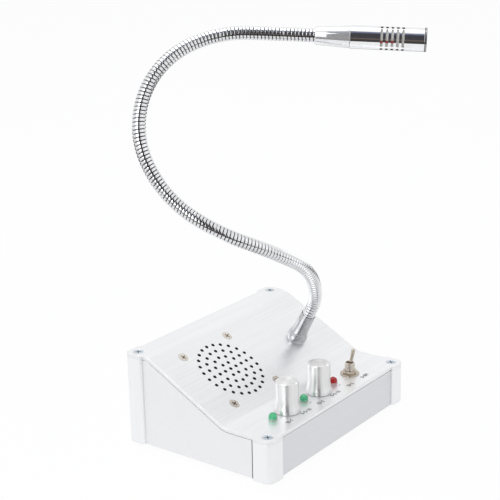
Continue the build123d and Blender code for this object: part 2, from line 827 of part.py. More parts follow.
def mic_plane(ahead=0.0):
    """The plane across the microphone at a distance ahead of the neck's end, its X axis level."""
    end = station(link_ends()[-1] + ahead)
    return Plane(origin=end.origin, x_dir=Vector(0, 0, 1).cross(end.z_dir), z_dir=end.z_dir)


def mic_tail():
    """The tapered rear of the microphone, plugged into the neck."""
    wall = tail_rear_wall
    inner_rear = tail_rear_radius - tail_wall
    inner_front = barrel_bore_radius - tail_wall
    points = [(ball_bore_radius, -tail_spigot_length), (neck_bore_radius - slip_gap, -tail_spigot_length),
              (neck_bore_radius - slip_gap, 0), (tail_rear_radius, 0), (tail_front_radius, tail_length),
              (barrel_bore_radius - slip_gap, tail_length),
              (barrel_bore_radius - slip_gap, tail_length + tail_spigot_length),
              (inner_front, tail_length + tail_spigot_length), (inner_rear, wall), (ball_bore_radius, wall)]
    return mic_plane() * turned(points)


def sound_slots():
    """The ring slots of the barrel, cut from both sides so that a bridge stays above and below."""
    cuts = []
    side = barrel_radius + cut_overrun
    bridge = Box(sound_slot_bridge, 2 * side, sound_slot_width, align=BOTTOM)
    for step in range(sound_slot_count):
        slot = Cylinder(side, sound_slot_width, align=BOTTOM) - bridge
        cuts.append(Pos(0, 0, sound_slot_start + step * sound_slot_pitch) * slot)
    return cuts


def mic_barrel():
    """The slotted tube of the microphone."""
    tube = ring(barrel_radius, barrel_bore_radius, barrel_length)
    return mic_plane(tail_length) * (tube - sound_slots())


def mic_nose():
    """The front ring of the microphone with its pierced disc."""
    body = ring(nose_radius, nose_bore_radius - nose_mesh_thickness, nose_length)
    spigot = ring(barrel_bore_radius - slip_gap, nose_bore_radius - nose_mesh_thickness, nose_spigot)
    disc = Cylinder(nose_bore_radius, nose_mesh_thickness, align=BOTTOM)
    holes = []
    for index, count in enumerate(nose_mesh_counts):
        for step in range(count):
            angle = 2 * pi * step / count
            radius = index * nose_mesh_pitch
            place = Pos(radius * cos(angle), radius * sin(angle), 0)
            holes.append(place * Cylinder(nose_mesh_hole_radius, 2 * nose_mesh_thickness + cut_overrun))
    body += Pos(0, 0, -nose_spigot) * spigot
    body += disc - holes
    return mic_plane(tail_length + barrel_length) * body


def capsule_plane():
    """Where the capsule's boot begins, inside the barrel behind the slots."""
    return mic_plane(tail_length + barrel_length - boot_from_nose)


def capsule_boot():
    """The rubber boot that holds the capsule in the barrel."""
    body = Cylinder(barrel_bore_radius - slip_gap, boot_length, align=BOTTOM)
    pocket_floor = Pos(0, 0, boot_length - capsule_length)
    pocket = pocket_floor * Cylinder(capsule_radius + thread_gap, boot_length, align=BOTTOM)
    hole = Cylinder(boot_bridge_radius, 2 * boot_length)
    return capsule_plane() * (body - pocket - hole)


def mic_capsule():
    """The microphone capsule in its boot."""
    body = Cylinder(capsule_radius, capsule_length, align=BOTTOM)
    port = Pos(0, 0, capsule_length) * Cylinder(ball_bore_radius, capsule_length / 2)
    return capsule_plane() * Pos(0, 0, boot_length - capsule_length) * (body - port)


def standoff_places():
    """Plan places of the standoffs under the circuit board."""
    half_x = board_width / 2 - standoff_inset
    half_y = board_depth / 2 - standoff_inset
    return [(x, board_y + y) for x, y in corners(half_x, half_y)]


def main_board():
    """The circuit board."""
    board = Pos(0, board_y, board_floor) * Box(board_width, board_depth, board_thickness, align=BOTTOM)
    drill = Cylinder(board_screw_radius + slip_gap, 2 * board_thickness + 2 * cut_overrun)
    return board - [Pos(x, y, board_floor) * drill for x, y in standoff_places()]


def board_standoffs():
    """Four spacers between the bottom and the board."""
    spacer = ring(standoff_radius, board_screw_radius + thread_gap, standoff_height)
    return [Pos(x, y, inner_floor) * spacer for x, y in standoff_places()]


def board_screws():
    """Four screws through the board into the spacers."""
    head = Cylinder(board_screw_head_radius, board_screw_head_height, align=BOTTOM)
    slot = Box(2 * board_screw_head_radius * recess_span_share, recess_width, board_screw_head_height)
    stem = Cylinder(board_screw_radius, board_screw_length, align=TOP)
    screw = head + stem - [Pos(0, 0, board_screw_head_height) * Rot(0, 0, turn) * slot for turn in (0, 90)]
    return [Pos(x, y, board_top) * screw for x, y in standoff_places()]


def amplifier_chip():
    """The power amplifier standing on the board."""
    return Pos(chip_x, board_y + chip_back, board_top) * Box(chip_length, chip_width, chip_height, align=BOTTOM)


def capacitors():
    """Two smoothing capacitors on the board."""
    can = Cylinder(capacitor_radius, capacitor_height, align=BOTTOM)
    can = fillet(can.edges().sort_by(Axis.Z)[-1], basket_wall)
    return [Pos(x, board_y + y, board_top) * can for x, y in capacitor_places]


def remote_socket():
    """The 3.5 mm socket for the unit on the customer's side: body, bush and bore."""
    inside = Pos(0, 0, -panel_thickness)
    bush = inside * Cylinder(remote_bush_radius, remote_bush_length, align=BOTTOM)
    body = inside * Box(remote_body_width, remote_body_width, remote_body_length, align=TOP)
    bore_length = remote_bush_length + remote_body_length
    mouth = Pos(0, 0, remote_bush_length - panel_thickness + cut_overrun)
    bore = mouth * Cylinder(remote_bore_radius, bore_length, align=TOP)
    return socket_axis(remote_socket_x) * (bush + body - bore)


def remote_socket_nut():
    """The nut on that socket, outside the rear panel."""
    nut = hex_nut(remote_nut_width, remote_bush_radius + thread_gap, remote_nut_height)
    return socket_axis(remote_socket_x) * nut


def power_socket():
    """The round socket of the power adaptor, with its centre pin."""
    flange = Cylinder(power_flange_radius, power_flange_height, align=BOTTOM)
    body = Cylinder(power_body_radius, power_body_length, align=TOP)
    mouth = Pos(0, 0, power_flange_height + cut_overrun)
    bore = mouth * Cylinder(power_bore_radius, power_bore_depth, align=TOP)
    pin = Cylinder(power_pin_radius, power_bore_depth, align=TOP)
    return socket_axis(power_socket_x) * (flange + body - bore + pin)


def lead(points, radius):
    """A wire along straight runs joined by arcs as large as the runs allow."""
    places = [Vector(*point) for point in points]
    bends = []
    for before, corner, after in zip(places, places[1:], places[2:]):
        turn = radians((corner - before).get_angle(after - corner))
        shorter = min((corner - before).length, (after - corner).length)
        bends.append(lead_run_share * shorter / tan(turn / 2))
    path = FilletPolyline(*places, radius=bends)
    start = Plane(origin=path @ 0, z_dir=path % 0)
    return sweep(start * Circle(radius), path=path)


def speaker_leads():
    """Two wires from the loudspeaker's basket down to the board."""
    leads = []
    slope_run = (basket_radius - basket_back_radius) / basket_depth
    wall = basket_radius - (speaker_lead_below - sheet - cloth_thickness - ledge_depth()) * slope_run
    for side in (-1, 1):
        place = Pos(wall + lead_radius + 2 * lead_gap, side * speaker_lead_pitch / 2, 0)
        x, y, z = (speaker_plane(speaker_lead_below) * place).position
        leads.append(lead([(x, y, z), (x, y, z - lead_run), (x + lead_run, y, board_top + lead_run),
                           (x + lead_run, y, board_top)], lead_radius))
    return leads


def pot_leads():
    """Three wires from the tabs of each rotary control to the board's front edge."""
    leads = []
    y = controls_y + pot_radius + pot_tab_length + lead_gap
    z = strip_under - pot_height / 2 - pot_tab_thickness / 2
    for x in knob_places:
        for k in (-1, 0, 1):
            at = x + k * pot_tab_pitch
            corner, end = (at, y + lead_run, z), (at, y + lead_run, board_top)
            leads.append(lead([(at, y, z), corner, end], lead_radius))
    return leads


def mic_lead():
    """The screened lead from the gooseneck's bore down to the board."""
    start = neck_seat(-mic_lead_in_bore).origin
    turn = neck_seat(-sheet - ferrule_thread_length - lead_run).origin
    x, y, z = turn.X, turn.Y + mic_lead_back, board_top + lead_run
    return lead([tuple(start), tuple(turn), (x, y, z), (x, y, board_top)], mic_lead_radius)


def nodes():
    """Every sub-part by its name."""
    parts = {
        "top_cover": top_cover(),
        "bottom_plate": bottom_plate(),
        "front_panel": front_panel(),
        "rear_panel": rear_panel(),
        "left_panel": side_panel(-1),
        "right_panel": side_panel(1),
        "front_left_post": post(-1, -1),
        "front_right_post": post(1, -1),
        "rear_left_post": post(-1, 1),
        "rear_right_post": post(1, 1),
        "cover_screws": cover_screws(),
        "base_screws": base_screws(),
        "rubber_feet": rubber_feet(),
        "speaker_frame": speaker_frame(),
        "speaker_cone": speaker_cone(),
        "speaker_dust_cap": dust_cap(),
        "speaker_magnet": speaker_magnet(),
        "speaker_screws": speaker_screws(),
        "speaker_nuts": speaker_nuts(),
        "grille_cloth": grille_cloth(),
        "left_green_lamp": lamp(green_lamp_places[0]),
        "right_green_lamp": lamp(green_lamp_places[1]),
        "red_lamp": lamp(red_lamp_place),
        "volume_pots": volume_pots(),
        "pot_washers": pot_washers(),
        "pot_nuts": pot_nuts(),
        "left_shaft": shaft(knob_places[0]),
        "right_shaft": shaft(knob_places[1]),
        "left_knob": knob(knob_places[0]),
        "right_knob": knob(knob_places[1]),
        "switch_body": switch_body(),
        "switch_washer": switch_washer(),
        "switch_nut": switch_nut(),
        "switch_lever": switch_lever(),
        "neck_ferrule": neck_ferrule(),
        "neck_nut": neck_nut(),
        "mic_tail": mic_tail(),
        "mic_barrel": mic_barrel(),
        "mic_nose": mic_nose(),
        "mic_capsule": mic_capsule(),
        "capsule_boot": capsule_boot(),
        "main_board": main_board(),
        "board_standoffs": board_standoffs(),
        "board_screws": board_screws(),
        "amplifier_chip": amplifier_chip(),
        "capacitors": capacitors(),
        "remote_socket": remote_socket(),
        "remote_socket_nut": remote_socket_nut(),
        "power_socket": power_socket(),
        "inner_leads": [*speaker_leads(), *pot_leads(), mic_lead()],
    }
    for index in range(len(neck_arc_lengths)):
        parts[f"neck_link_{index + 1}"] = neck_link(index)
    return parts


def write(name, shape):
    """Write one node, a group of separate solids where the shape is a list."""
    pieces = shape if isinstance(shape, list) else [shape]
    solids = [solid for piece in pieces for solid in piece.solids()]
    whole = solids[0] if len(solids) == 1 else Compound(solids)
    whole.label = name
    export_step(whole, f"parts/{name}.step")


os.makedirs("parts", exist_ok=True)
for node_name, node_shape in nodes().items():
    write(node_name, node_shape)
for number in range(len(neck_arc_lengths)):
    place = hinge(number)
    axis = place.y_dir if number % 2 else place.x_dir
    print("hinge", number + 1, [round(v, 3) for v in place.origin], [round(v, 5) for v in axis],
          [round(v, 5) for v in place.z_dir])
print("neck end", [round(v, 3) for v in mic_plane().origin], [round(v, 5) for v in mic_plane().z_dir])
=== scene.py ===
"""The looks of a counter intercom's master unit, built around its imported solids. Lengths are in metres."""

import logging
import math
from dataclasses import dataclass, replace
from enum import Enum
from typing import Callable, Iterable, Sequence

import bmesh
import bpy
from mathutils import Matrix, Vector


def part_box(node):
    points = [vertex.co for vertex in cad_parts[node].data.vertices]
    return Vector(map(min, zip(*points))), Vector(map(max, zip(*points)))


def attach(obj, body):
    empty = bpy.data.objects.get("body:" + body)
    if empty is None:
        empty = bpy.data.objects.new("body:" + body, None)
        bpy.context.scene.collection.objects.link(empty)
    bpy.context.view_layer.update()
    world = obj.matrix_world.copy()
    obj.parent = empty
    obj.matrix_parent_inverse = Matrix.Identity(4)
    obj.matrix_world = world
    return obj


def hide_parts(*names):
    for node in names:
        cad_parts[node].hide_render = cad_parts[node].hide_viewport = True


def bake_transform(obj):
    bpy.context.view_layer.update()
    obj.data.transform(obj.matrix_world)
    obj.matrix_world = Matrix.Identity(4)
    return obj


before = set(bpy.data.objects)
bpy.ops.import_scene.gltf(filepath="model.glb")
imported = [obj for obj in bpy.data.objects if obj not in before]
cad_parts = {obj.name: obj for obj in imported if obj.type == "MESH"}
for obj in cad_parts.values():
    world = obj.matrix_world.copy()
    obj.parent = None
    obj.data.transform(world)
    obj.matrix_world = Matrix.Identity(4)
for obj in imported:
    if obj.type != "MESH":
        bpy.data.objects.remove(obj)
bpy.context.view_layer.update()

log = logging.getLogger("intercom")

Colour = tuple[float, float, float]
Outline = list[tuple[float, float]]
Value = "Wire | float | Colour"

MM = 0.001
FULL_TURN = 2 * math.pi
ROUND_STEPS = 72
WELD_DISTANCE = 1e-8
SHARP_ANGLE = math.radians(38)
RIGHT = Vector((1.0, 0.0, 0.0))
BACK = Vector((0.0, 1.0, 0.0))
UP = Vector((0.0, 0.0, 1.0))

# Places on the case that several pieces share
FRONT_TOP = 27.2 * MM
CASE_FRONT_Y = -52.15 * MM
CONTROLS_Y = -34.85 * MM
SLOPE_START_Y = -19.25 * MM
SLOPE_RISE = 29.8 * MM
SLOPE_RUN = 54.7 * MM
SLOPE_ANGLE = math.atan2(SLOPE_RISE, SLOPE_RUN)
LAMP_X = {"left_green_lamp": -44.8 * MM, "right_green_lamp": -13.9 * MM, "red_lamp": 17.2 * MM}
KNOB_X = {"left": -30.6 * MM, "right": 1.9 * MM}


class Axis(Enum):
    """A direction of the row frame, as the index of its coordinate."""

    X = 0
    Y = 1
    Z = 2


class Slot(Enum):
    """The record's material slots, one kept with each finish of this script's pieces."""

    CHROME = "chrome"
    KNOB = "knob"
    NICKEL = "nickel"
    SCREW = "screw"
    GREEN = "green_lamp"
    RED = "red_lamp"
    PANEL = "panel"
    BLACK = "black_plastic"
    CLOTH = "cloth"
    FOAM = "boot"
    WIRE = "lead"


# Shader maths


class Wire:
    """A socket of a node tree, with arithmetic that adds Math nodes."""

    def __init__(self, nodes: "Nodes", socket: bpy.types.NodeSocket) -> None:
        """Wrap a socket of a tree."""
        self.nodes = nodes
        self.socket = socket

    def _maths(self, operation: str, first: Value, second: Value) -> "Wire":
        """Add one Math node.

        Args:
            operation: The node's operation.
            first: Its first value or link.
            second: Its second value or link.

        Returns:
            The node's result.
        """
        return self.nodes.add("Math", {0: first, 1: second}, operation=operation)

    def __add__(self, other: Value) -> "Wire":
        """The sum."""
        return self._maths("ADD", self, other)

    def __radd__(self, other: Value) -> "Wire":
        """The sum with a number in front."""
        return self._maths("ADD", other, self)

    def __sub__(self, other: Value) -> "Wire":
        """The difference."""
        return self._maths("SUBTRACT", self, other)

    def __rsub__(self, other: Value) -> "Wire":
        """The difference from a number."""
        return self._maths("SUBTRACT", other, self)

    def __mul__(self, other: Value) -> "Wire":
        """The product."""
        return self._maths("MULTIPLY", self, other)

    def __rmul__(self, other: Value) -> "Wire":
        """The product with a number in front."""
        return self._maths("MULTIPLY", other, self)

    def at_least(self, other: Value) -> "Wire":
        """The larger of the two."""
        return self._maths("MAXIMUM", self, other)


class Nodes:
    """A node tree that is filled by expressions."""

    noise_range: tuple[float, float] = (0.3, 0.7)

    def __init__(self, tree: bpy.types.NodeTree) -> None:
        """Empty a tree and wrap it."""
        self.tree = tree
        tree.nodes.clear()

    def add(self, kind: str, inputs: dict[str | int, Value] | None = None, output: str | int = 0,
            **settings: object) -> Wire:
        """Add any node.

        Args:
            kind: The node's type without its ShaderNode prefix.
            inputs: Values or links by the name or number of the socket.
            output: The socket that is handed back.
            **settings: The node's own settings, which are set first.

        Returns:
            The asked output.
        """
        made = self.tree.nodes.new("ShaderNode" + kind)
        for key, value in settings.items():
            setattr(made, key, value)
        for key, value in (inputs or {}).items():
            self.feed(made.inputs[key], value)
        return Wire(self, made.outputs[output] if made.outputs else None)

    def feed(self, socket: bpy.types.NodeSocket, value: Value) -> None:
        """Link a wire to a socket, or set the socket's own value.

        Args:
            socket: The socket to fill.
            value: A wire, a number or a colour.
        """
        if isinstance(value, Wire):
            self.tree.links.new(value.socket, socket)
        elif isinstance(value, tuple) and socket.type == "RGBA":
            socket.default_value = (*value, 1.0)
        else:
            socket.default_value = value

    def mix(self, factor: Value, low: Value, high: Value) -> Wire:
        """Mix two colours.

        Args:
            factor: 0 for the first colour, 1 for the second.
            low: The first colour.
            high: The second colour.

        Returns:
            The mixed colour.
        """
        return self.add("Mix", {0: factor, 6: low, 7: high}, output=2, data_type="RGBA")

    def share(self, value: Wire, low: float, high: float) -> Wire:
        """How far a value has come from a low one to a high one, kept between 0 and 1."""
        return self.add("MapRange", {"Value": value, "From Min": low, "From Max": high})

    def place(self, scale: Colour = (1.0, 1.0, 1.0)) -> Wire:
        """The place on the piece in the row frame, stretched by a scale."""
        place = self.add("TexCoord", output="Object")
        return self.add("Mapping", {"Vector": place, "Scale": scale})

    def noise(self, scale: float | Colour, detail: float = 2.0) -> Wire:
        """Soft noise, spread from its usual range to fill 0 to 1.

        Args:
            scale: Its cells per metre, as one number or one along each axis.
            detail: How many finer layers it has.

        Returns:
            The noise.
        """
        place = self.place(scale if isinstance(scale, tuple) else (scale, scale, scale))
        made = self.add("TexNoise", {"Vector": place, "Scale": 1.0, "Detail": detail})
        return self.share(made, *self.noise_range)

    def bump(self, height: Wire, strength: float, depth: float, edge: float = 0.0) -> Wire:
        """The normal of a bumped surface.

        Args:
            height: The height, 0 to 1.
            strength: The share of the bump that shows.
            depth: The height of 1 in metres.
            edge: The radius by which sharp edges look rounded, in metres.

        Returns:
            The normal.
        """
        inputs: dict[str | int, Value] = {"Strength": strength, "Distance": depth, "Height": height}
        if edge:
            inputs["Normal"] = self.add("Bevel", {"Radius": edge}, samples=6)
        return self.add("Bump", inputs)


class Shader(Nodes):
    """A material made of one Principled shader."""

    def __init__(self, name: str) -> None:
        """Make the material.

        Args:
            name: The material's name.
        """
        self.material = bpy.data.materials.new(name)
        self.material.use_nodes = True
        super().__init__(self.material.node_tree)
        self.lit = self.add("BsdfPrincipled")
        self.add("OutputMaterial", {"Surface": self.lit})

    def set(self, **values: Value) -> None:
        """Set the Principled shader's sockets, with spaces in their names as underscores."""
        for key, value in values.items():
            self.feed(self.lit.socket.node.inputs[key.replace("_", " ")], value)

    def show(self, result: Wire) -> None:
        """Send another shader to the material's output."""
        self.feed(self.tree.get_output_node("ALL").inputs["Surface"], result)


# Finishes


@dataclass(frozen=True)
class Coating:
    """A finish between two tones, which each kind lays on in its own way. Its grain is in cells per metre.

    Attributes:
        name: The material's name.
        slot: The record's slot of pieces that wear it, or None where only solids do; not used.
        tint: Its lighter tone.
        shade: Its darker tone.
    """

    name: str
    slot: Slot | None
    tint: Colour
    shade: Colour

    def lay_on(self, shader: Shader) -> None:
        """Fill the shader with what varies over the surface.

        Args:
            shader: The shader to fill.
        """
        raise NotImplementedError

    def material(self) -> bpy.types.Material:
        """Make the material.

        Returns:
            The material.
        """
        shader = Shader(self.name)
        self.lay_on(shader)
        return shader.material


@dataclass(frozen=True)
class BrushedMetal(Coating):
    """Aluminium with long fine scratches along one axis."""

    roughness: float
    along: Axis = Axis.X
    streak: float = 0.1
    depth: float = 0.01 * MM
    broad: float = 420.0
    broad_run: float = 9.0
    fine: float = 2600.0
    fine_run: float = 24.0
    clouds: float = 14.0
    edge: float = 0.0

    def scale(self, across: float, lengthwise: float) -> Colour:
        """The noise scale of scratches that are so fine across and so long.

        Args:
            across: Cells per metre across the scratches.
            lengthwise: Cells per metre along them.

        Returns:
            The scale along each axis.
        """
        sizes = [across] * 3
        sizes[self.along.value] = lengthwise
        return tuple(sizes)

    def lay_on(self, shader: Shader) -> None:
        """Fill the shader with broad and fine scratches and faint clouds.

        Args:
            shader: The shader to fill.
        """
        broad = shader.noise(self.scale(self.broad, self.broad_run), 3.0)
        fine = shader.noise(self.scale(self.fine, self.fine_run))
        grain = broad * 0.5 + fine * 0.35 + shader.noise(self.clouds, 1.0) * 0.15
        shader.set(Metallic=0.8, Base_Color=shader.mix(grain, self.shade, self.tint),
                   Roughness=self.roughness + self.streak * (grain - 0.5),
                   Normal=shader.bump(broad * 0.4 + fine * 0.6, 0.5, self.depth, self.edge))


@dataclass(frozen=True)
class PolishedMetal(Coating):
    """Plated or polished metal with faint smudges and, where asked, painted shade in its grooves."""

    roughness: float
    smudge: float = 0.05
    depth: float = 0.004 * MM
    clouds: float = 110.0
    specks: float = 1500.0
    metal: float = 1.0
    painted_groove_shade: float = 0.0
    painted_groove_shade_colour: Colour = (0.02, 0.02, 0.022)
    painted_groove_shade_edge: float = 0.5
    painted_groove_shade_bottom: float = 0.46

    def lay_on(self, shader: Shader) -> None:
        """Fill the shader with smudges and specks, and paint shade on hollow edges.

        Args:
            shader: The shader to fill.
        """
        cloud = shader.noise(self.clouds, 3.0)
        speck = shader.noise(self.specks, 1.0)
        colour = shader.mix(cloud, self.shade, self.tint)
        # Painted shade: hollow edges, found by the mesh's pointiness, are darkened towards a near-black
        # colour.
        if self.painted_groove_shade:
            bent = shader.add("NewGeometry", output="Pointiness")
            depth = shader.share(bent, self.painted_groove_shade_edge, self.painted_groove_shade_bottom)
            colour = shader.mix(depth * self.painted_groove_shade, colour, self.painted_groove_shade_colour)
        shader.set(Metallic=self.metal, Base_Color=colour,
                   Roughness=self.roughness + self.smudge * (cloud * 0.6 + speck * 0.4),
                   Normal=shader.bump(speck, 0.3, self.depth))


@dataclass(frozen=True)
class SpunMetal(Coating):
    """Turned aluminium with fine rings round an upright axis."""

    roughness: float
    centre: tuple[float, float]
    depth: float = 0.0005 * MM
    rings_across: float = 2600.0
    rings_up: float = 2200.0
    clouds: float = 160.0

    def lay_on(self, shader: Shader) -> None:
        """Fill the shader with rings that follow the distance from the axis and the height.

        Args:
            shader: The shader to fill.
        """
        place = shader.add("TexCoord", output="Object")
        centred = shader.add("VectorMath", {0: place, 1: (*self.centre, 0.0)}, operation="SUBTRACT")
        level = shader.add("SeparateXYZ", {0: centred}, output="Z")
        flat = shader.add("VectorMath", {0: centred, 1: (1.0, 1.0, 0.0)}, operation="MULTIPLY")
        radius = shader.add("VectorMath", {0: flat}, output="Value", operation="LENGTH")
        across = radius * self.rings_across + level * self.rings_up
        noise = shader.add("TexNoise", {"W": across, "Scale": 1.0, "Detail": 2.0}, noise_dimensions="1D")
        rings = shader.share(noise, *shader.noise_range)
        cloud = shader.noise(self.clouds)
        shader.set(Metallic=1.0, Anisotropic=0.85, Anisotropic_Rotation=0.25,
                   Base_Color=shader.mix(rings * 0.7 + cloud * 0.3, self.shade, self.tint),
                   Roughness=self.roughness + 0.05 * rings,
                   Normal=shader.bump(rings, 0.1, self.depth))


@dataclass(frozen=True)
class Moulded(Coating):
    """Plastic, rubber or paint with a faint grain."""

    roughness: float
    coat: float = 0.0
    depth: float = 0.02 * MM
    specks: float = 1800.0
    clouds: float = 60.0

    def lay_on(self, shader: Shader) -> None:
        """Fill the shader with specks and faint clouds.

        Args:
            shader: The shader to fill.
        """
        speck = shader.noise(self.specks)
        cloud = shader.noise(self.clouds)
        shader.set(Coat_Weight=self.coat,
                   Base_Color=shader.mix(cloud * 0.6 + speck * 0.4, self.shade, self.tint),
                   Roughness=self.roughness + 0.1 * (speck - 0.5),
                   Normal=shader.bump(speck, 0.4, self.depth))


@dataclass(frozen=True)
class LampPlastic(Coating):
    """The tinted clear plastic of a lamp, paler at its foot where the strip's light comes in."""

    clear: float = 0.35
    clouds: float = 700.0
    foot_height: float = 1.5 * MM

    def lay_on(self, shader: Shader) -> None:
        """Fill the shader with faint clouds above a foot paled by painted light.

        Args:
            shader: The shader to fill.
        """
        cloud = shader.noise(self.clouds)
        level = shader.add("SeparateXYZ", {0: shader.add("TexCoord", output="Object")}, output="Z")
        risen = shader.share(level, FRONT_TOP, FRONT_TOP + self.foot_height)
        # Painted light: the lens is paler near its foot, where light from the strip would show through it.
        pale = tuple(0.25 * part + 0.65 for part in self.tint)
        shader.set(Transmission_Weight=self.clear, IOR=1.4, Coat_Weight=0.4,
                   Base_Color=shader.mix(risen, pale, shader.mix(cloud, self.shade, self.tint)),
                   Roughness=0.08 + 0.08 * cloud)


@dataclass(frozen=True)
class WovenCloth(Coating):
    """Acoustic cloth with a crossed weave."""

    threads: float = 2200.0
    depth: float = 0.1 * MM

    def lay_on(self, shader: Shader) -> None:
        """Fill the shader with threads along X and Y.

        Args:
            shader: The shader to fill.
        """
        place = shader.place()
        across, along = (shader.add("TexWave", {"Vector": place, "Scale": self.threads}, bands_direction=way)
                         for way in "XY")
        weave = across * 0.5 + along * 0.5
        shader.set(Sheen_Weight=0.2, Base_Color=shader.mix(weave, self.shade, self.tint),
                   Roughness=0.9 + 0.05 * weave, Normal=shader.bump(weave, 0.5, self.depth))


LIGHT_METAL = (0.9, 0.905, 0.915)
SATIN_DEPTH = 0.002 * MM
COVER = BrushedMetal("brushed cover", None, LIGHT_METAL, (0.8, 0.805, 0.82), 0.36, streak=0.12,
                     broad=1100.0, edge=0.45 * MM)
PANEL = BrushedMetal("satin panel", Slot.PANEL, (0.86, 0.862, 0.878), (0.83, 0.832, 0.848), 0.42,
                     streak=0.02, depth=SATIN_DEPTH)
# A darker copy of the panel finish for the front panel: painted shade, as the front gets less light than the
# sides.
FRONT_PAINTED_SHADE = BrushedMetal("satin front painted shade", Slot.PANEL, (0.735, 0.74, 0.765), (0.705, 0.71, 0.735), 0.42,
                     streak=0.02, depth=SATIN_DEPTH)
POST = BrushedMetal("satin post", None, LIGHT_METAL, (0.87, 0.875, 0.885), 0.34, Axis.Z,
                    streak=0.03, depth=SATIN_DEPTH, edge=0.5 * MM)
BARE = BrushedMetal("bare plate", None, (0.78, 0.785, 0.79), (0.66, 0.665, 0.67), 0.45, Axis.Y)
ZINC = PolishedMetal("zinc", Slot.SCREW, (0.66, 0.72, 0.78), (0.5, 0.56, 0.63), 0.16, 0.1)
NICKEL = PolishedMetal("nickel", None, (0.74, 0.69, 0.62), (0.62, 0.57, 0.5), 0.16, 0.1)
# A darker copy of nickel for the switch: painted shade standing in for dark reflections, with painted groove
# shade too.
NICKEL_PAINTED_SHADE = PolishedMetal("nickel painted shade", Slot.NICKEL, (0.54, 0.48, 0.41), (0.43, 0.38, 0.32), 0.05, 0.04,
                            painted_groove_shade=0.95)
BRASS = PolishedMetal("brass", None, (0.75, 0.55, 0.25), (0.6, 0.42, 0.18), 0.25, 0.12)
CHROME = PolishedMetal("chrome", Slot.CHROME, (0.88, 0.885, 0.9), (0.8, 0.805, 0.82), 0.05, 0.04)
# A darker copy of chrome for the ferrule: painted shade standing in for the darker reflections on it.
FERRULE_CHROME_PAINTED_SHADE = PolishedMetal("ferrule chrome painted shade", Slot.CHROME, (0.54, 0.545, 0.565), (0.48, 0.485, 0.5),
                               0.07, 0.03)
# The wound neck's chrome, with painted shade in the grooves between its turns.
WOUND_CHROME = PolishedMetal("wound chrome", Slot.CHROME, (0.8, 0.805, 0.82), (0.72, 0.725, 0.74), 0.05, 0.04,
                             painted_groove_shade=0.95)
SATIN_CHROME = PolishedMetal("satin chrome", Slot.CHROME, (0.86, 0.86, 0.87), (0.78, 0.78, 0.79), 0.06, 0.04,
                             metal=0.66)
BLACK = Moulded("black plastic", None, (0.035, 0.035, 0.036), (0.02, 0.02, 0.021), 0.5)
GREY_PAINT = Moulded("grey paint", None, (0.1, 0.1, 0.105), (0.07, 0.07, 0.072), 0.45)
PAPER = Moulded("black paper", None, (0.05, 0.05, 0.05), (0.03, 0.03, 0.03), 0.85)
RUBBER = Moulded("black rubber", Slot.BLACK, (0.03, 0.03, 0.03), (0.018, 0.018, 0.018), 0.75)
RED_RUBBER = Moulded("red rubber", Slot.WIRE, (0.42, 0.035, 0.03), (0.3, 0.02, 0.02), 0.55)
FERRITE = Moulded("ferrite", None, (0.05, 0.05, 0.055), (0.03, 0.03, 0.033), 0.6)
FOAM = Moulded("pale foam", Slot.FOAM, (0.78, 0.77, 0.74), (0.66, 0.65, 0.62), 0.9, depth=0.1 * MM)
LACQUER = Moulded("board lacquer", None, (0.02, 0.2, 0.08), (0.012, 0.14, 0.055), 0.35, coat=0.5)
INK = Moulded("print", Slot.BLACK, (0.035, 0.035, 0.04), (0.02, 0.02, 0.022), 0.6)
LEFT_GREEN = LampPlastic("left green lamp plastic", Slot.GREEN, (0.12, 0.72, 0.36), (0.05, 0.55, 0.24))
RIGHT_GREEN = replace(LEFT_GREEN, name="right green lamp plastic")
RED = LampPlastic("red lamp plastic", Slot.RED, (0.6, 0.002, 0.008), (0.42, 0.001, 0.004), 0.1)
CLOTH = WovenCloth("acoustic cloth", Slot.CLOTH, (0.02, 0.02, 0.02), (0.008, 0.008, 0.008))


class Workshop:
    """Makes each finish once and dresses pieces with it."""

    def __init__(self) -> None:
        """Start with no material."""
        self.materials: dict[str, bpy.types.Material] = {}

    def dress(self, piece: bpy.types.Object, finish: Coating) -> None:
        """Give a piece its one material.

        Args:
            piece: The object.
            finish: Its finish.
        """
        if finish.name not in self.materials:
            self.materials[finish.name] = finish.material()
        piece.data.materials.clear()
        piece.data.materials.append(self.materials[finish.name])

    def dress_solids(self, finishes: dict[Coating, Iterable[str]]) -> None:
        """Dress CAD nodes.

        Args:
            finishes: The nodes that wear each finish.
        """
        for finish, nodes in finishes.items():
            for node in nodes:
                self.dress(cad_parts[node], finish)


WORKSHOP = Workshop()


# Mesh tools


def frame_at(origin: Vector, x: Vector, y: Vector, z: Vector) -> Matrix:
    """The frame with an origin and three unit axes at right angles."""
    return Matrix.Translation(origin) @ Matrix((x, y, z)).transposed().to_4x4()


def slope_place(x: float, up_slope: float, above: float = 0.0) -> Matrix:
    """The frame of a place on the slope's face, its X to the right and its Z out of the case.

    Args:
        x: How far right it is.
        up_slope: How far up the slope it is.
        above: How far it stands off the face.

    Returns:
        The frame.
    """
    normal = UP * math.cos(SLOPE_ANGLE) - BACK * math.sin(SLOPE_ANGLE)
    along = BACK * math.cos(SLOPE_ANGLE) + UP * math.sin(SLOPE_ANGLE)
    foot = Vector((x, SLOPE_START_Y, FRONT_TOP))
    return frame_at(foot + along * up_slope + normal * above, RIGHT, along, normal)


def corners(node: str) -> tuple[Vector, Vector]:
    """The low and the high corner of a CAD node's box."""
    low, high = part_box(node)
    return Vector(low), Vector(high)


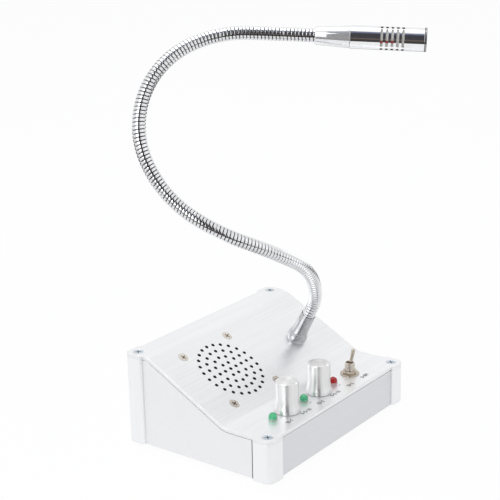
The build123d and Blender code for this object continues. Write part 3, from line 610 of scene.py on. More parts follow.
def softened(points: Sequence[tuple[float, float, float]], steps: int = 4) -> Outline:
    """Round the corners of an outline.

    Args:
        points: Both coordinates and the corner radius of each point.
        steps: Steps of each rounded corner.

    Returns:
        The outline with its arcs.
    """
    outline: Outline = []
    for index, (r, z, corner) in enumerate(points):
        here = Vector((r, z))
        if corner <= 0 or index in (0, len(points) - 1):
            outline.append((r, z))
            continue
        back = (Vector(points[index - 1][:2]) - here).normalized()
        ahead = (Vector(points[index + 1][:2]) - here).normalized()
        half = max(back.angle(ahead), 1e-3) / 2
        run = corner / math.tan(half)
        centre = here + (back + ahead).normalized() * corner / math.sin(half)
        start = here + back * run - centre
        end = here + ahead * run - centre
        first = math.atan2(start.y, start.x)
        turn = (math.atan2(end.y, end.x) - first + math.pi) % FULL_TURN - math.pi
        for step in range(steps + 1):
            angle = first + turn * step / steps
            outline.append((centre.x + corner * math.cos(angle), centre.y + corner * math.sin(angle)))
    return outline


def arc(centre: tuple[float, float], radius: float, start: float, end: float, steps: int) -> Outline:
    """Points along an arc, both ends included.

    Args:
        centre: Its centre.
        radius: Its radius.
        start: The angle it starts at.
        end: The angle it ends at.
        steps: Its steps.

    Returns:
        The points.
    """
    angles = [start + (end - start) * step / steps for step in range(steps + 1)]
    return [(centre[0] + radius * math.cos(angle), centre[1] + radius * math.sin(angle)) for angle in angles]


def polar(radius: float, angle: float, height: float) -> Vector:
    """The place at a distance and an angle round Z."""
    return Vector((radius * math.cos(angle), radius * math.sin(angle), height))


class PieceMaker:
    """Collects the points and faces of one piece, in the row frame."""

    def __init__(self, name: str) -> None:
        """Start an empty piece with the object's name."""
        self.name = name
        self.points: list[Vector] = []
        self.faces: list[tuple[int, ...]] = []

    def grid(self, rows: Sequence[Sequence[Vector]], keep: Callable[[int, int], bool] | None = None) -> None:
        """Add a sheet of quads.

        Args:
            rows: Rows of points, all of one length.
            keep: Says whether the face after a row and column exists.
        """
        first = len(self.points)
        wide = len(rows[0])
        for row in rows:
            self.points.extend(row)
        for i in range(len(rows) - 1):
            for j in range(wide - 1):
                if keep is None or keep(i, j):
                    at = first + i * wide + j
                    self.faces.append((at, at + 1, at + wide + 1, at + wide))

    def face(self, corners: Sequence[Vector]) -> None:
        """Add one flat face."""
        first = len(self.points)
        self.points.extend(corners)
        self.faces.append(tuple(range(first, first + len(corners))))

    def turned(self, place: Matrix, outline: Outline | Callable[[float], Outline],
               steps: int = ROUND_STEPS) -> None:
        """Add a surface of revolution.

        Args:
            place: The frame whose Z is the axis.
            outline: Its (radius, height) points, or a function that gives them for an angle.
            steps: Faces round the axis.
        """
        rows = []
        for step in range(steps + 1):
            angle = FULL_TURN * (step % steps) / steps
            line = outline(angle) if callable(outline) else outline
            rows.append([place @ polar(r, angle, z) for r, z in line])
        self.grid(rows)

    def build(self) -> bpy.types.Object:
        """Weld the points and make the object.

        Returns:
            The object, linked to the scene.
        """
        mesh = bpy.data.meshes.new(self.name)
        mesh.from_pydata([tuple(point) for point in self.points], [], self.faces)
        work = bmesh.new()
        work.from_mesh(mesh)
        bmesh.ops.remove_doubles(work, verts=work.verts, dist=WELD_DISTANCE)
        bmesh.ops.dissolve_degenerate(work, edges=work.edges, dist=WELD_DISTANCE)
        bmesh.ops.recalc_face_normals(work, faces=work.faces)
        work.to_mesh(mesh)
        work.free()
        mesh.polygons.foreach_set("use_smooth", [True] * len(mesh.polygons))
        mesh.set_sharp_from_angle(angle=SHARP_ANGLE)
        mesh.update()
        piece = bpy.data.objects.new(self.name, mesh)
        bpy.context.scene.collection.objects.link(piece)
        return piece

    def fix(self, body: str, finish: Coating, *nodes: str) -> None:
        """Build the piece, dress it and fix it to its body.

        Args:
            body: The body it rides on.
            finish: Its finish.
            *nodes: The CAD nodes it stands for.
        """
        piece = self.build()
        WORKSHOP.dress(piece, finish)
        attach(piece, body)
        if nodes:
            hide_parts(*nodes)
        log.info("%s on %s", piece.name, body)


# Case

# The strokes of each figure of the print, on a square with sides of 1
ROUND_FIGURE = ((0.2, 0), (0.8, 0), (1, 0.2), (1, 0.8), (0.8, 1), (0.2, 1), (0, 0.8), (0, 0.2), (0.2, 0))
FIGURES = {
    "0": (ROUND_FIGURE,),
    "1": (((0.15, 0.75), (0.5, 1), (0.5, 0)),),
    "2": (((0, 0.8), (0.2, 1), (0.8, 1), (1, 0.8), (1, 0.6), (0, 0), (1, 0)),),
    "3": (((0, 1), (0.9, 1), (0.45, 0.58), (0.8, 0.55), (1, 0.35), (1, 0.2), (0.8, 0), (0.2, 0), (0, 0.2)),),
    "5": (((0.9, 1), (0.05, 1), (0, 0.55), (0.8, 0.55), (1, 0.4), (1, 0.2), (0.8, 0), (0, 0.05)),),
    "-": (((0.1, 0.5), (0.9, 0.5)),),
    "O": (ROUND_FIGURE,),
    "F": (((0, 0), (0, 1), (1, 1)), ((0, 0.52), (0.8, 0.52))),
}


@dataclass
class Case:
    """The case: its dressed solids, and the plates, print, and the dark strips and black grille sleeves of
    painted shade that are made here.
    """

    panel_thickness: float = 2.0 * MM
    panel_edge: float = 0.25 * MM
    panel_proud: float = 0.1 * MM
    seam: float = 0.18 * MM
    front_seam: float = 0.32 * MM
    # The thin dark strip of painted shade beside each front post
    shade_strip_width: float = 0.95 * MM
    shade_strip_proud: float = 0.02 * MM
    shade_strip_thickness: float = 0.04 * MM
    shade_strip_edge: float = 0.01 * MM
    post_width: float = 12.9 * MM
    cover_thickness: float = 2.0 * MM
    crease_radius: float = 9.5 * MM
    crease_steps: int = 6
    hole_radius: float = 1.0 * MM
    ring_holes: tuple[int, ...] = (1, 6, 12, 18, 24)
    ring_pitch: float = 5.07 * MM
    grille_x: float = -27.1 * MM
    grille_up_slope: float = 31.1 * MM
    # Black sleeves of painted shade in the grille's holes
    shade_sleeve_rim: float = 0.14 * MM
    shade_sleeve_gap: float = 0.02 * MM
    shade_sleeve_lip: float = 0.015 * MM
    shade_sleeve_steps: int = 24
    stroke_width: float = 0.36 * MM
    figure_height: float = 2.0 * MM
    figure_width: float = 1.0 * MM
    figure_gap: float = 0.45 * MM
    ink_height: float = 0.03 * MM
    labels_y: float = -45.2 * MM
    dash_half: float = 0.8 * MM
    dash_before: float = 4.6 * MM
    labels: tuple[tuple[float, str], ...] = (
        (-41.8 * MM, "10-1"), (-25.3 * MM, "0-5-10"), (-10.4 * MM, "10-2"),
        (5.3 * MM, "0-5-10"), (21.2 * MM, "10-3"), (37.9 * MM, "0-OFF"))

    def build(self) -> None:
        """Dress the case's own solids and make its pieces."""
        WORKSHOP.dress_solids({
            COVER: ("top_cover",),
            BARE: ("bottom_plate",),
            RUBBER: ("rubber_feet",),
            ZINC: ("cover_screws", "base_screws"),
            PANEL: ("rear_panel",),
            POST: [f"{end}_{side}_post" for end in ("front", "rear") for side in ("left", "right")],
        })
        self.side_panel("left", -1)
        self.side_panel("right", 1)
        self.front_panel()
        self.grille()
        self.marks()

    def plate(self, name: str, face: Matrix, outline: Outline, thickness: float, edge: float) -> PieceMaker:
        """Make a flat plate whose front is chamfered at its sides and its top.

        Args:
            name: The piece's name.
            face: The frame of its front face, Z out of the plate.
            outline: Its outline on that face, its lower edge first.
            thickness: Its thickness.
            edge: The size of the chamfer.

        Returns:
            The piece.
        """
        middle_u = (outline[0][0] + outline[1][0]) / 2
        middle_v = sum(v for _, v in outline) / len(outline)
        shrink = 1 - edge / max(abs(u - middle_u) for u, _ in outline)
        front = [(middle_u + (u - middle_u) * shrink, v - edge if v > middle_v else v) for u, v in outline]
        maker = PieceMaker(name)
        rows = []
        for line, depth in ((front, 0.0), (outline, edge), (outline, thickness)):
            ring = [face @ Vector((u, v, -depth)) for u, v in line]
            rows.append([*ring, ring[0]])
        maker.grid(rows)
        maker.face(rows[0][:-1])
        maker.face(rows[-1][:-1])
        return maker

    def side_panel(self, side: str, sign: int) -> None:
        """Make a side panel a narrow seam below the cover, and a thin dark strip of painted shade behind its
        front post.

        Args:
            side: The panel's side.
            sign: Which way along X it faces.
        """
        low, high = corners(f"{side}_panel")
        drop = self.cover_thickness + self.seam
        lean = drop * math.tan(SLOPE_ANGLE / 2)
        rise = high.z + self.cover_thickness - FRONT_TOP
        crest = SLOPE_START_Y + rise / math.tan(SLOPE_ANGLE)
        top = FRONT_TOP - drop
        outline = softened([
            (low.y, low.z, 0.0), (high.y, low.z, 0.0), (high.y, top + rise, 0.0),
            (crest + lean, top + rise, self.crease_radius - self.seam),
            (SLOPE_START_Y + lean, top, self.crease_radius + drop), (low.y, top, 0.0)], self.crease_steps)
        outward = RIGHT * sign
        face = frame_at(outward * (max(-low.x, high.x) + self.panel_proud), BACK, UP, outward)
        plate = self.plate(f"{side}_panel_plate", face, outline, self.panel_thickness, self.panel_edge)
        plate.fix("case", PANEL, f"{side}_panel")
        # Painted shade: a thin dark strip on the panel beside the front post stands in for the shade line
        # there.
        shade_strip_end = CASE_FRONT_Y + self.post_width + self.shade_strip_width
        strip = [(low.y, low.z), (shade_strip_end, low.z), (shade_strip_end, top), (low.y, top)]
        proud = face @ Matrix.Translation((0, 0, self.shade_strip_proud))
        shade_strip = self.plate(f"{side}_panel_shade_strip", proud, strip, self.shade_strip_thickness, self.shade_strip_edge)
        shade_strip.fix("case", RUBBER)

    def front_panel(self) -> None:
        """Make the front panel, a narrow seam below the cover."""
        low, high = corners("front_panel")
        top = high.z - self.front_seam
        outline = [(low.x, low.z), (high.x, low.z), (high.x, top), (low.x, top)]
        face = frame_at(BACK * (low.y - self.panel_proud), RIGHT, UP, -BACK)
        plate = self.plate("front_panel_plate", face, outline, self.panel_thickness, self.panel_edge)
        plate.fix("case", FRONT_PAINTED_SHADE, "front_panel")

    def grille(self) -> None:
        """Paint shade into the holes of the grille: black sleeves in one piece darken each hole's rim and
        wall.
        """
        maker = PieceMaker("grille_shade_sleeves")
        rim = self.hole_radius + self.shade_sleeve_rim
        wall = self.hole_radius - self.shade_sleeve_gap
        outline = [(rim, 0.0), (rim, self.shade_sleeve_lip), (wall, self.shade_sleeve_lip), (wall, -self.cover_thickness),
                   (0.0, -self.cover_thickness)]
        for ring, count in enumerate(self.ring_holes):
            for step in range(count):
                turn = FULL_TURN * step / count
                x = self.grille_x + ring * self.ring_pitch * math.cos(turn)
                up = self.grille_up_slope + ring * self.ring_pitch * math.sin(turn)
                maker.turned(slope_place(x, up), outline, self.shade_sleeve_steps)
        maker.fix("case", CLOTH)

    def marks(self) -> None:
        """Print plain figures and dashes in front of the controls."""
        maker = PieceMaker("strip_marks")
        for x, text in self.labels:
            self.write(maker, text, x)
        y = CONTROLS_Y - self.dash_before
        for lamp in ("right_green_lamp", "red_lamp"):
            self.stroke(maker, [(LAMP_X[lamp] - self.dash_half, y), (LAMP_X[lamp] + self.dash_half, y)])
        maker.fix("case", INK)

    def write(self, maker: PieceMaker, text: str, x: float) -> None:
        """Write a short label.

        Args:
            maker: The piece that takes the strokes.
            text: Its figures.
            x: The middle of the label.
        """
        step = self.figure_width + self.figure_gap
        left = x - (len(text) * step - self.figure_gap) / 2
        for index, figure in enumerate(text):
            for line in FIGURES[figure]:
                self.stroke(maker, [(left + index * step + u * self.figure_width,
                                     self.labels_y + v * self.figure_height) for u, v in line])

    def stroke(self, maker: PieceMaker, line: Outline) -> None:
        """Lay a thin ribbon of ink on the front strip.

        Args:
            maker: The piece that takes it.
            line: The ribbon's middle line on the strip.
        """
        top = FRONT_TOP + self.ink_height
        down = UP * -(self.ink_height / 2)
        for first, last in zip(line, line[1:]):
            start = Vector((*first, top))
            end = Vector((*last, top))
            ahead = (end - start).normalized() * self.stroke_width / 2
            side = UP.cross(ahead)
            ring = [start - ahead - side, end + ahead - side, end + ahead + side, start - ahead + side]
            maker.face(ring)
            for a, b in zip(ring, [*ring[1:], ring[0]]):
                maker.face([a + down, b + down, b, a])


# Loudspeaker and inner pieces


class InnerPieces:
    """The loudspeaker, the board, the sockets and the inside of the microphone, as the solids give them."""

    def dress(self) -> None:
        """Dress each solid with its finish."""
        WORKSHOP.dress_solids({
            GREY_PAINT: ("speaker_frame", "volume_pots"),
            PAPER: ("speaker_cone", "speaker_dust_cap"),
            FERRITE: ("speaker_magnet",),
            NICKEL: ("speaker_screws", "switch_body", "remote_socket_nut"),
            ZINC: ("speaker_nuts", "pot_washers", "pot_nuts", "neck_nut", "board_screws"),
            CLOTH: ("grille_cloth",),
            BARE: ("left_shaft", "right_shaft", "mic_capsule"),
            RED_RUBBER: ("capsule_boot",),
            LACQUER: ("main_board",),
            BRASS: ("board_standoffs",),
            BLACK: ("amplifier_chip", "capacitors", "remote_socket", "power_socket", "inner_leads",
                    "mic_nose"),
        })


# Controls


@dataclass
class Lamp:
    """One 5 mm lamp: a domed lens with its metal cup inside."""

    node: str
    finish: LampPlastic
    radius: float = 2.5 * MM
    height: float = 4.2 * MM
    depth: float = 2.0 * MM
    dome_steps: int = 14
    lens_steps: int = 48
    cup_radius: float = 1.3 * MM
    cup_height: float = 1.6 * MM
    cup_floor: float = 0.5 * MM
    cup_floor_radius: float = 0.7 * MM
    cup_edge: float = 0.1 * MM
    cup_steps: int = 32
    stem_radius: float = 0.5 * MM
    stem_length: float = 1.5 * MM

    def build(self) -> None:
        """Make the lens and its cup."""
        place = Matrix.Translation((LAMP_X[self.node], CONTROLS_Y, FRONT_TOP))
        dome = arc((0.0, self.height - self.radius), self.radius, 0.0, math.pi / 2, self.dome_steps)
        lens = PieceMaker(f"{self.node}_lens")
        lens.turned(place, [(0.0, -self.depth), (self.radius, -self.depth), *dome], self.lens_steps)
        lens.fix("case", self.finish, self.node)
        cup = PieceMaker(f"{self.node}_cup")
        cup.turned(place, softened([
            (0.0, self.cup_floor, 0.0),
            (self.cup_floor_radius, self.cup_floor + self.cup_edge, self.cup_edge),
            (self.cup_radius, self.cup_height, self.cup_edge),
            (self.stem_radius, -self.stem_length, 0.0), (0.0, -self.stem_length, 0.0)]), self.cup_steps)
        cup.fix("case", ZINC)


@dataclass
class VolumeKnob:
    """One turned aluminium knob with a flared skirt and a pointer notch."""

    side: str
    radius: float = 6.7 * MM
    skirt_radius: float = 7.75 * MM
    gap: float = 0.15 * MM
    height: float = 18.45 * MM
    skirt_height: float = 2.4 * MM
    skirt_edge: float = 0.2 * MM
    flare_height: float = 5.2 * MM
    flare_steps: int = 10
    hollow_radius: float = 6.3 * MM
    hollow_depth: float = 3.0 * MM
    hollow_edge: float = 0.15 * MM
    edge: float = 0.45 * MM
    edge_steps: int = 5
    dish_depth: float = 0.12 * MM
    notch_half: float = 0.5 * MM
    notch_depth: float = 0.55 * MM
    notch_length: float = 2.6 * MM
    around: int = 120

    def side_line(self) -> Outline:
        """The knob's outline from the hollow in its foot to the rim of its top.

        Returns:
            The outline.
        """
        grow = self.skirt_radius - self.radius
        swell = (grow * grow + self.flare_height * self.flare_height) / (2 * grow)
        reach = math.asin(self.flare_height / swell)
        flare = arc((self.radius + swell, self.skirt_height + self.flare_height), swell,
                    math.pi + reach, math.pi, self.flare_steps)
        bend = arc((self.radius - self.edge, self.height - self.edge), self.edge,
                   0.0, math.pi / 2, self.edge_steps)
        return [(self.hollow_radius, self.hollow_depth), (self.hollow_radius, self.hollow_edge),
                (self.hollow_radius + self.hollow_edge, 0.0), (self.skirt_radius - self.skirt_edge, 0.0),
                (self.skirt_radius, self.skirt_edge), *flare, *bend]

    def top_line(self, inner: float) -> Outline:
        """The outline of the top, flat outside and a little sunk in the middle.

        Args:
            inner: The radius where the notch ends.

        Returns:
            The outline from the rim to the centre.
        """
        flat = self.radius - self.edge - inner
        sunk = self.height - self.dish_depth
        line = [(inner + flat * share, self.height) for share in (0.75, 0.5, 0.25, 0.0)]
        line.append((inner * 0.84, self.height))
        return line + [(inner * share, sunk) for share in (0.76, 0.6, 0.4, 0.2, 0.0)]

    def build(self) -> None:
        """Make the knob with its notch at the front of the top."""
        place = Matrix.Translation((KNOB_X[self.side], CONTROLS_Y, FRONT_TOP + self.gap))
        inner = self.radius - self.notch_length
        outline = self.side_line() + self.top_line(inner)
        lowest = self.height - self.edge - WELD_DISTANCE
        rows = []
        for step in range(self.around + 1):
            angle = FULL_TURN * (step % self.around) / self.around
            row = []
            for r, z in outline:
                point = polar(r, angle, z)
                if z > lowest and abs(point.x) < self.notch_half and point.y < -inner:
                    point.z = self.height - self.notch_depth
                row.append(place @ point)
            rows.append(row)
        maker = PieceMaker(f"{self.side}_knob_turned")
        maker.grid(rows)
        spun = SpunMetal(f"spun {self.side} knob", Slot.KNOB, (0.8, 0.8, 0.8), (0.77, 0.77, 0.77), 0.32,
                         (KNOB_X[self.side], CONTROLS_Y))
        maker.fix(f"{self.side}_volume", spun, f"{self.side}_knob")


@dataclass
class ToggleSwitch:
    """The nickel washer, nut, threaded bush and bat lever of the switch."""

    x: float = 35.6 * MM
    washer_radius: float = 5.9 * MM
    washer_height: float = 0.8 * MM
    washer_hole: float = 3.1 * MM
    washer_slope: float = 1.0 * MM
    washer_rim: float = 0.64 * MM
    washer_edge: float = 0.25 * MM
    washer_foot_edge: float = 0.1 * MM
    nut_width: float = 8.0 * MM
    nut_height: float = 1.6 * MM
    nut_gap: float = 0.05 * MM
    nut_chamfer: float = math.radians(30)
    nut_steps: int = 96
    bush_radius: float = 3.0 * MM
    bush_height: float = 7.4 * MM
    bush_skin: float = 0.02 * MM
    bore_radius: float = 2.2 * MM
    bore_depth: float = 1.2 * MM
    bore_edge: float = 0.1 * MM
    mouth: float = 0.5 * MM
    mouth_slope: float = 0.45 * MM
    mouth_edge: float = 0.2 * MM
    mouth_lap: float = 0.4 * MM
    thread_pitch: float = 0.75 * MM
    thread_depth: float = 0.07 * MM
    thread_around: int = 48
    thread_fine: int = 8
    pivot_depth: float = 3.2 * MM
    lean: float = math.radians(12.5)
    lever_length: float = 12.8 * MM
    ball_radius: float = 2.1 * MM
    root_radius: float = 0.9 * MM
    tip_radius: float = 1.25 * MM
    ball_steps: int = 16
    bat_steps: int = 8
    tip_steps: int = 10
    lever_around: int = 48

    def build(self) -> None:
        """Make every part of the switch that stands out of the case."""
        base = Matrix.Translation((self.x, CONTROLS_Y, FRONT_TOP))
        self.washer(base)
        self.nut(base @ Matrix.Translation((0.0, 0.0, self.washer_height)))
        self.bush(base)
        self.lever(base)

    def washer(self, base: Matrix) -> None:
        """Make the wide washer with rounded edges.

        Args:
            base: The switch's frame on the strip.
        """
        high, out, hole = self.washer_height, self.washer_radius, self.washer_hole
        maker = PieceMaker("switch_washer_pressed")
        maker.turned(base, softened([
            (hole, high, 0.0), (out - self.washer_slope, high, 0.0), (out, self.washer_rim, self.washer_edge),
            (out, 0.0, self.washer_foot_edge), (hole, 0.0, 0.0), (hole, high, 0.0)]))
        maker.fix("case", NICKEL_PAINTED_SHADE, "switch_washer")

    def nut(self, base: Matrix) -> None:
        """Make the six-sided nut with its corners turned off above and below.

        Args:
            base: The frame on top of the washer.
        """
        flat = self.nut_width / 2
        hole = self.bush_radius + self.nut_gap

        def line(angle: float) -> Outline:
            """The nut's outline at an angle."""
            reach = flat / math.cos((angle + math.pi / 6) % (math.pi / 3) - math.pi / 6)
            drop = max(reach - flat, 0.0) * math.tan(self.nut_chamfer)
            return [(hole, 0.0), (flat, 0.0), (reach, drop), (reach, self.nut_height - drop),
                    (flat, self.nut_height), (hole, self.nut_height), (hole, 0.0)]

        maker = PieceMaker("switch_nut_cut")
        maker.turned(base, line, self.nut_steps)
        maker.fix("case", NICKEL_PAINTED_SHADE, "switch_nut")

    def bush(self, base: Matrix) -> None:
        """Make the thread and the rounded mouth round the switch's bush.

        Args:
            base: The switch's frame on the strip.
        """
        maker = PieceMaker("switch_bush_thread")
        low = self.washer_height + self.nut_height
        high = self.bush_height - self.mouth
        turns = int((high - low) / self.thread_pitch) - 1
        rows = []
        for step in range(self.thread_around + 1):
            share = step / self.thread_around
            row = []
            for k in range(turns * self.thread_fine + 1):
                z = low + (k / self.thread_fine + share) * self.thread_pitch
                r = self.bush_radius + self.thread_depth * math.cos(FULL_TURN * k / self.thread_fine)
                row.append(base @ polar(r, FULL_TURN * share, z))
            rows.append(row)
        maker.grid(rows)
        out = self.bush_radius + self.bush_skin
        bore = self.bore_radius + self.bush_skin
        top = self.bush_height + self.bush_skin
        start = (out, high - self.mouth_lap, 0.0)
        maker.turned(base, softened([
            start, (out, top - self.mouth, self.mouth_edge), (out - self.mouth_slope, top, self.mouth_edge),
            (bore, top, self.bore_edge), (bore, top - self.bore_depth, 0.0), start]))
        maker.fix("case", NICKEL_PAINTED_SHADE)

    def lever(self, base: Matrix) -> None:
        """Make the bat lever, leaning to the front on its ball.

        Args:
            base: The switch's frame on the strip.
        """
        pivot = base @ Matrix.Translation((0.0, 0.0, self.bush_height - self.pivot_depth))
        pivot = pivot @ Matrix.Rotation(self.lean, 4, "X")
        ball, root, tip = self.ball_radius, self.root_radius, self.tip_radius
        shoulder = self.lever_length - tip
        join = math.acos(root / ball)
        neck = ball * math.sin(join)
        steps = self.bat_steps
        bat = [(root + (tip - root) * k / steps, neck + (shoulder - neck) * k / steps)
               for k in range(1, steps)]
        maker = PieceMaker("switch_bat")
        maker.turned(pivot, [*arc((0.0, 0.0), ball, -math.pi / 2, join, self.ball_steps), *bat,
                             *arc((0.0, shoulder), tip, 0.0, math.pi / 2, self.tip_steps)], self.lever_around)
        maker.fix("switch_toggle", NICKEL_PAINTED_SHADE, "switch_lever")


# Gooseneck and microphone


@dataclass
class CentreLine:
    """The neck's centre line: straight ends and nine arcs, each bending to a side of its own.

    Attributes:
        lengths: Each arc's length in millimetres.
        turns: How far each arc turns, in degrees.
        sides: The side each arc bends to, in degrees about the line.
    """

    x: float = 36.6 * MM
    up_slope: float = 28.5 * MM
    ferrule_length: float = 20.8 * MM
    straight: float = 5.0 * MM
    lengths: tuple[float, ...] = (12.6, 36.7, 40.9, 32.5, 42.7, 39.6, 39.1, 36.0, 33.1)
    turns: tuple[float, ...] = (27.2, 38.5, 31.8, 29.3, 36.8, 45.3, 41.8, 31.3, 5.5)
    sides: tuple[float, ...] = (156.1, 161.4, 104.1, 66.0, -18.0, 18.9, 15.2, -9.4, -59.9)

    def __post_init__(self) -> None:
        """Walk along the runs once and keep each one with the frame and the distance where it starts."""
        arcs = [(length * MM, math.radians(turn), math.radians(side))
                for length, turn, side in zip(self.lengths, self.turns, self.sides)]
        end = (self.straight, 0.0, 0.0)
        place = slope_place(self.x, self.up_slope, self.ferrule_length)
        at = 0.0
        self.runs: list[tuple[float, float, float, float, Matrix]] = []
        for length, turn, side in [end, *arcs, end]:
            self.runs.append((at, length, turn, side, place))
            place = place @ self.move(length, turn, side)
            at += length

    @staticmethod
    def move(length: float, turn: float, side: float) -> Matrix:
        """The move along an arc that starts along Z.

        Args:
            length: Its length.
            turn: How far it turns.
            side: The side it bends to, as an angle about Z.

        Returns:
            The move.
        """
        chord = 2 * length / turn * math.sin(turn / 2) if turn else length
        step = Matrix.Translation((chord * math.sin(turn / 2), 0.0, chord * math.cos(turn / 2)))
        to_side = Matrix.Rotation(side, 4, "Z")
        return to_side @ step @ Matrix.Rotation(turn, 4, "Y") @ to_side.inverted()

    def hinge_distances(self) -> list[float]:
        """How far along the line each hinge lies, and the line's end.

        Returns:
            The distances.
        """
        distances = [0.0]
        ends = (0, len(self.lengths) - 1)
        for index, length in enumerate(self.lengths):
            distances.append(distances[-1] + length * MM + (self.straight if index in ends else 0.0))
        return distances

    def station(self, distance: float) -> Matrix:
        """The frame across the neck at a distance from the ferrule's mouth, its Z ahead.

        Args:
            distance: The distance along the line.

        Returns:
            The frame.
        """
        at, length, turn, side, place = self.runs[0]
        for run in self.runs:
            if run[0] <= distance:
                at, length, turn, side, place = run
        step = distance - at
        return place @ self.move(step, turn * step / length, side)


@dataclass
class Gooseneck:
    """The wound neck, in pieces that each reach across a hinge between the links' bodies, and its ferrule.

    Attributes:
        profile: The wire's outline, as shares of the pitch and of the height from valley to crest.
        bulge: The foot of the ferrule, as radii and heights in millimetres.
    """

    line: CentreLine
    crest: float = 3.98 * MM
    valley: float = 3.3 * MM
    pitch: float = 2.15 * MM
    around: int = 36
    profile: tuple[tuple[float, float], ...] = (
        (0.0, 0.0), (0.07, 0.13), (0.112, 0.72), (0.16, 0.96), (0.26, 1.0),
        (0.74, 1.0), (0.84, 0.96), (0.888, 0.72), (0.93, 0.13))
    in_ferrule: float = 3.0 * MM
    bend_reach: float = 12.0 * MM
    bulge: tuple[tuple[float, float], ...] = (
        (5.6, 0.0), (5.95, 0.7), (6.2, 1.7), (6.25, 2.6), (6.2, 3.6), (6.02, 4.5),
        (5.8, 5.1), (5.5, 5.9), (5.24, 6.8), (5.05, 7.8), (4.92, 8.9), (4.82, 10.2))
    tube_start: float = 11.0 * MM
    tube_radius: float = 4.78 * MM
    mouth_radius: float = 4.55 * MM
    mouth_edge: float = 0.12 * MM
    mouth_bore: float = 4.2 * MM
    bore_edge: float = 0.1 * MM
    mouth_depth: float = 3.5 * MM
    lead_bore: float = 2.6 * MM
    stem_radius: float = 4.4 * MM
    stem_length: float = 9.0 * MM
    ferrule_steps: int = 96

    def build(self) -> None:
        """Make the winding and the ferrule."""
        self.windings()
        self.ferrule()

    def winding(self, name: str, start: int, end: int) -> PieceMaker:
        """The winding between two whole numbers of turns along the line.

        Args:
            name: The piece's name.
            start: The first turn.
            end: The last turn.

        Returns:
            The piece.
        """
        maker = PieceMaker(name)
        rows = []
        stops = [(turn + share, swell) for turn in range(start, end) for share, swell in self.profile]
        for at, swell in [*stops, (float(end), 0.0)]:
            radius = self.valley + (self.crest - self.valley) * swell
            row = []
            for spoke in range(self.around + 1):
                share = spoke / self.around
                place = self.line.station((at + share) * self.pitch)
                row.append(place @ polar(radius, FULL_TURN * share, 0.0))
            rows.append(row)
        maker.grid(rows)
        return maker

    def windings(self) -> None:
        """Make the neck's pieces, each reaching across one hinge, and the last one behind the microphone."""
        hinges = self.line.hinge_distances()
        cuts = [round((a + b) / 2 / self.pitch) for a, b in zip(hinges, hinges[1:])]
        starts = [-round(self.in_ferrule / self.pitch) - 1, *cuts]
        for index, (start, end) in enumerate(zip(starts, cuts)):
            piece = self.winding(f"winding_{index + 1}", start, end).build()
            WORKSHOP.dress(piece, WOUND_CHROME)
            hinge = self.line.station(hinges[index])
            reach = min(self.bend_reach, end * self.pitch - hinges[index])
            back = 0.0
            if index:
                reach = min(reach, hinges[index] - (start + 1) * self.pitch)
                back = -reach
            hinge @ (UP * back)
            hinge @ (UP * reach)
            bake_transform(piece)
            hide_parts(f"neck_link_{index + 1}")
        tail = self.winding("winding_10", cuts[-1], int(hinges[-1] / self.pitch))
        tail.fix("neck_9", WOUND_CHROME)

    def ferrule(self) -> None:
        """Make the chromed ferrule with a bulged foot and an open mouth."""
        length = self.line.ferrule_length
        outline = [(r * MM, z * MM) for r, z in self.bulge]
        outline += softened([
            (self.tube_radius, self.tube_start, 0.0), (self.mouth_radius, length, self.mouth_edge),
            (self.mouth_bore, length, self.bore_edge), (self.mouth_bore, length - self.mouth_depth, 0.0),
            (self.lead_bore, length - self.mouth_depth, 0.0)])
        outline += [(self.lead_bore, -self.stem_length), (self.stem_radius, -self.stem_length),
                    (self.stem_radius, 0.0), outline[0]]
        maker = PieceMaker("ferrule_turned")
        maker.turned(slope_place(self.line.x, self.line.up_slope), outline, self.ferrule_steps)
        maker.fix("case", FERRULE_CHROME_PAINTED_SHADE, "neck_ferrule")


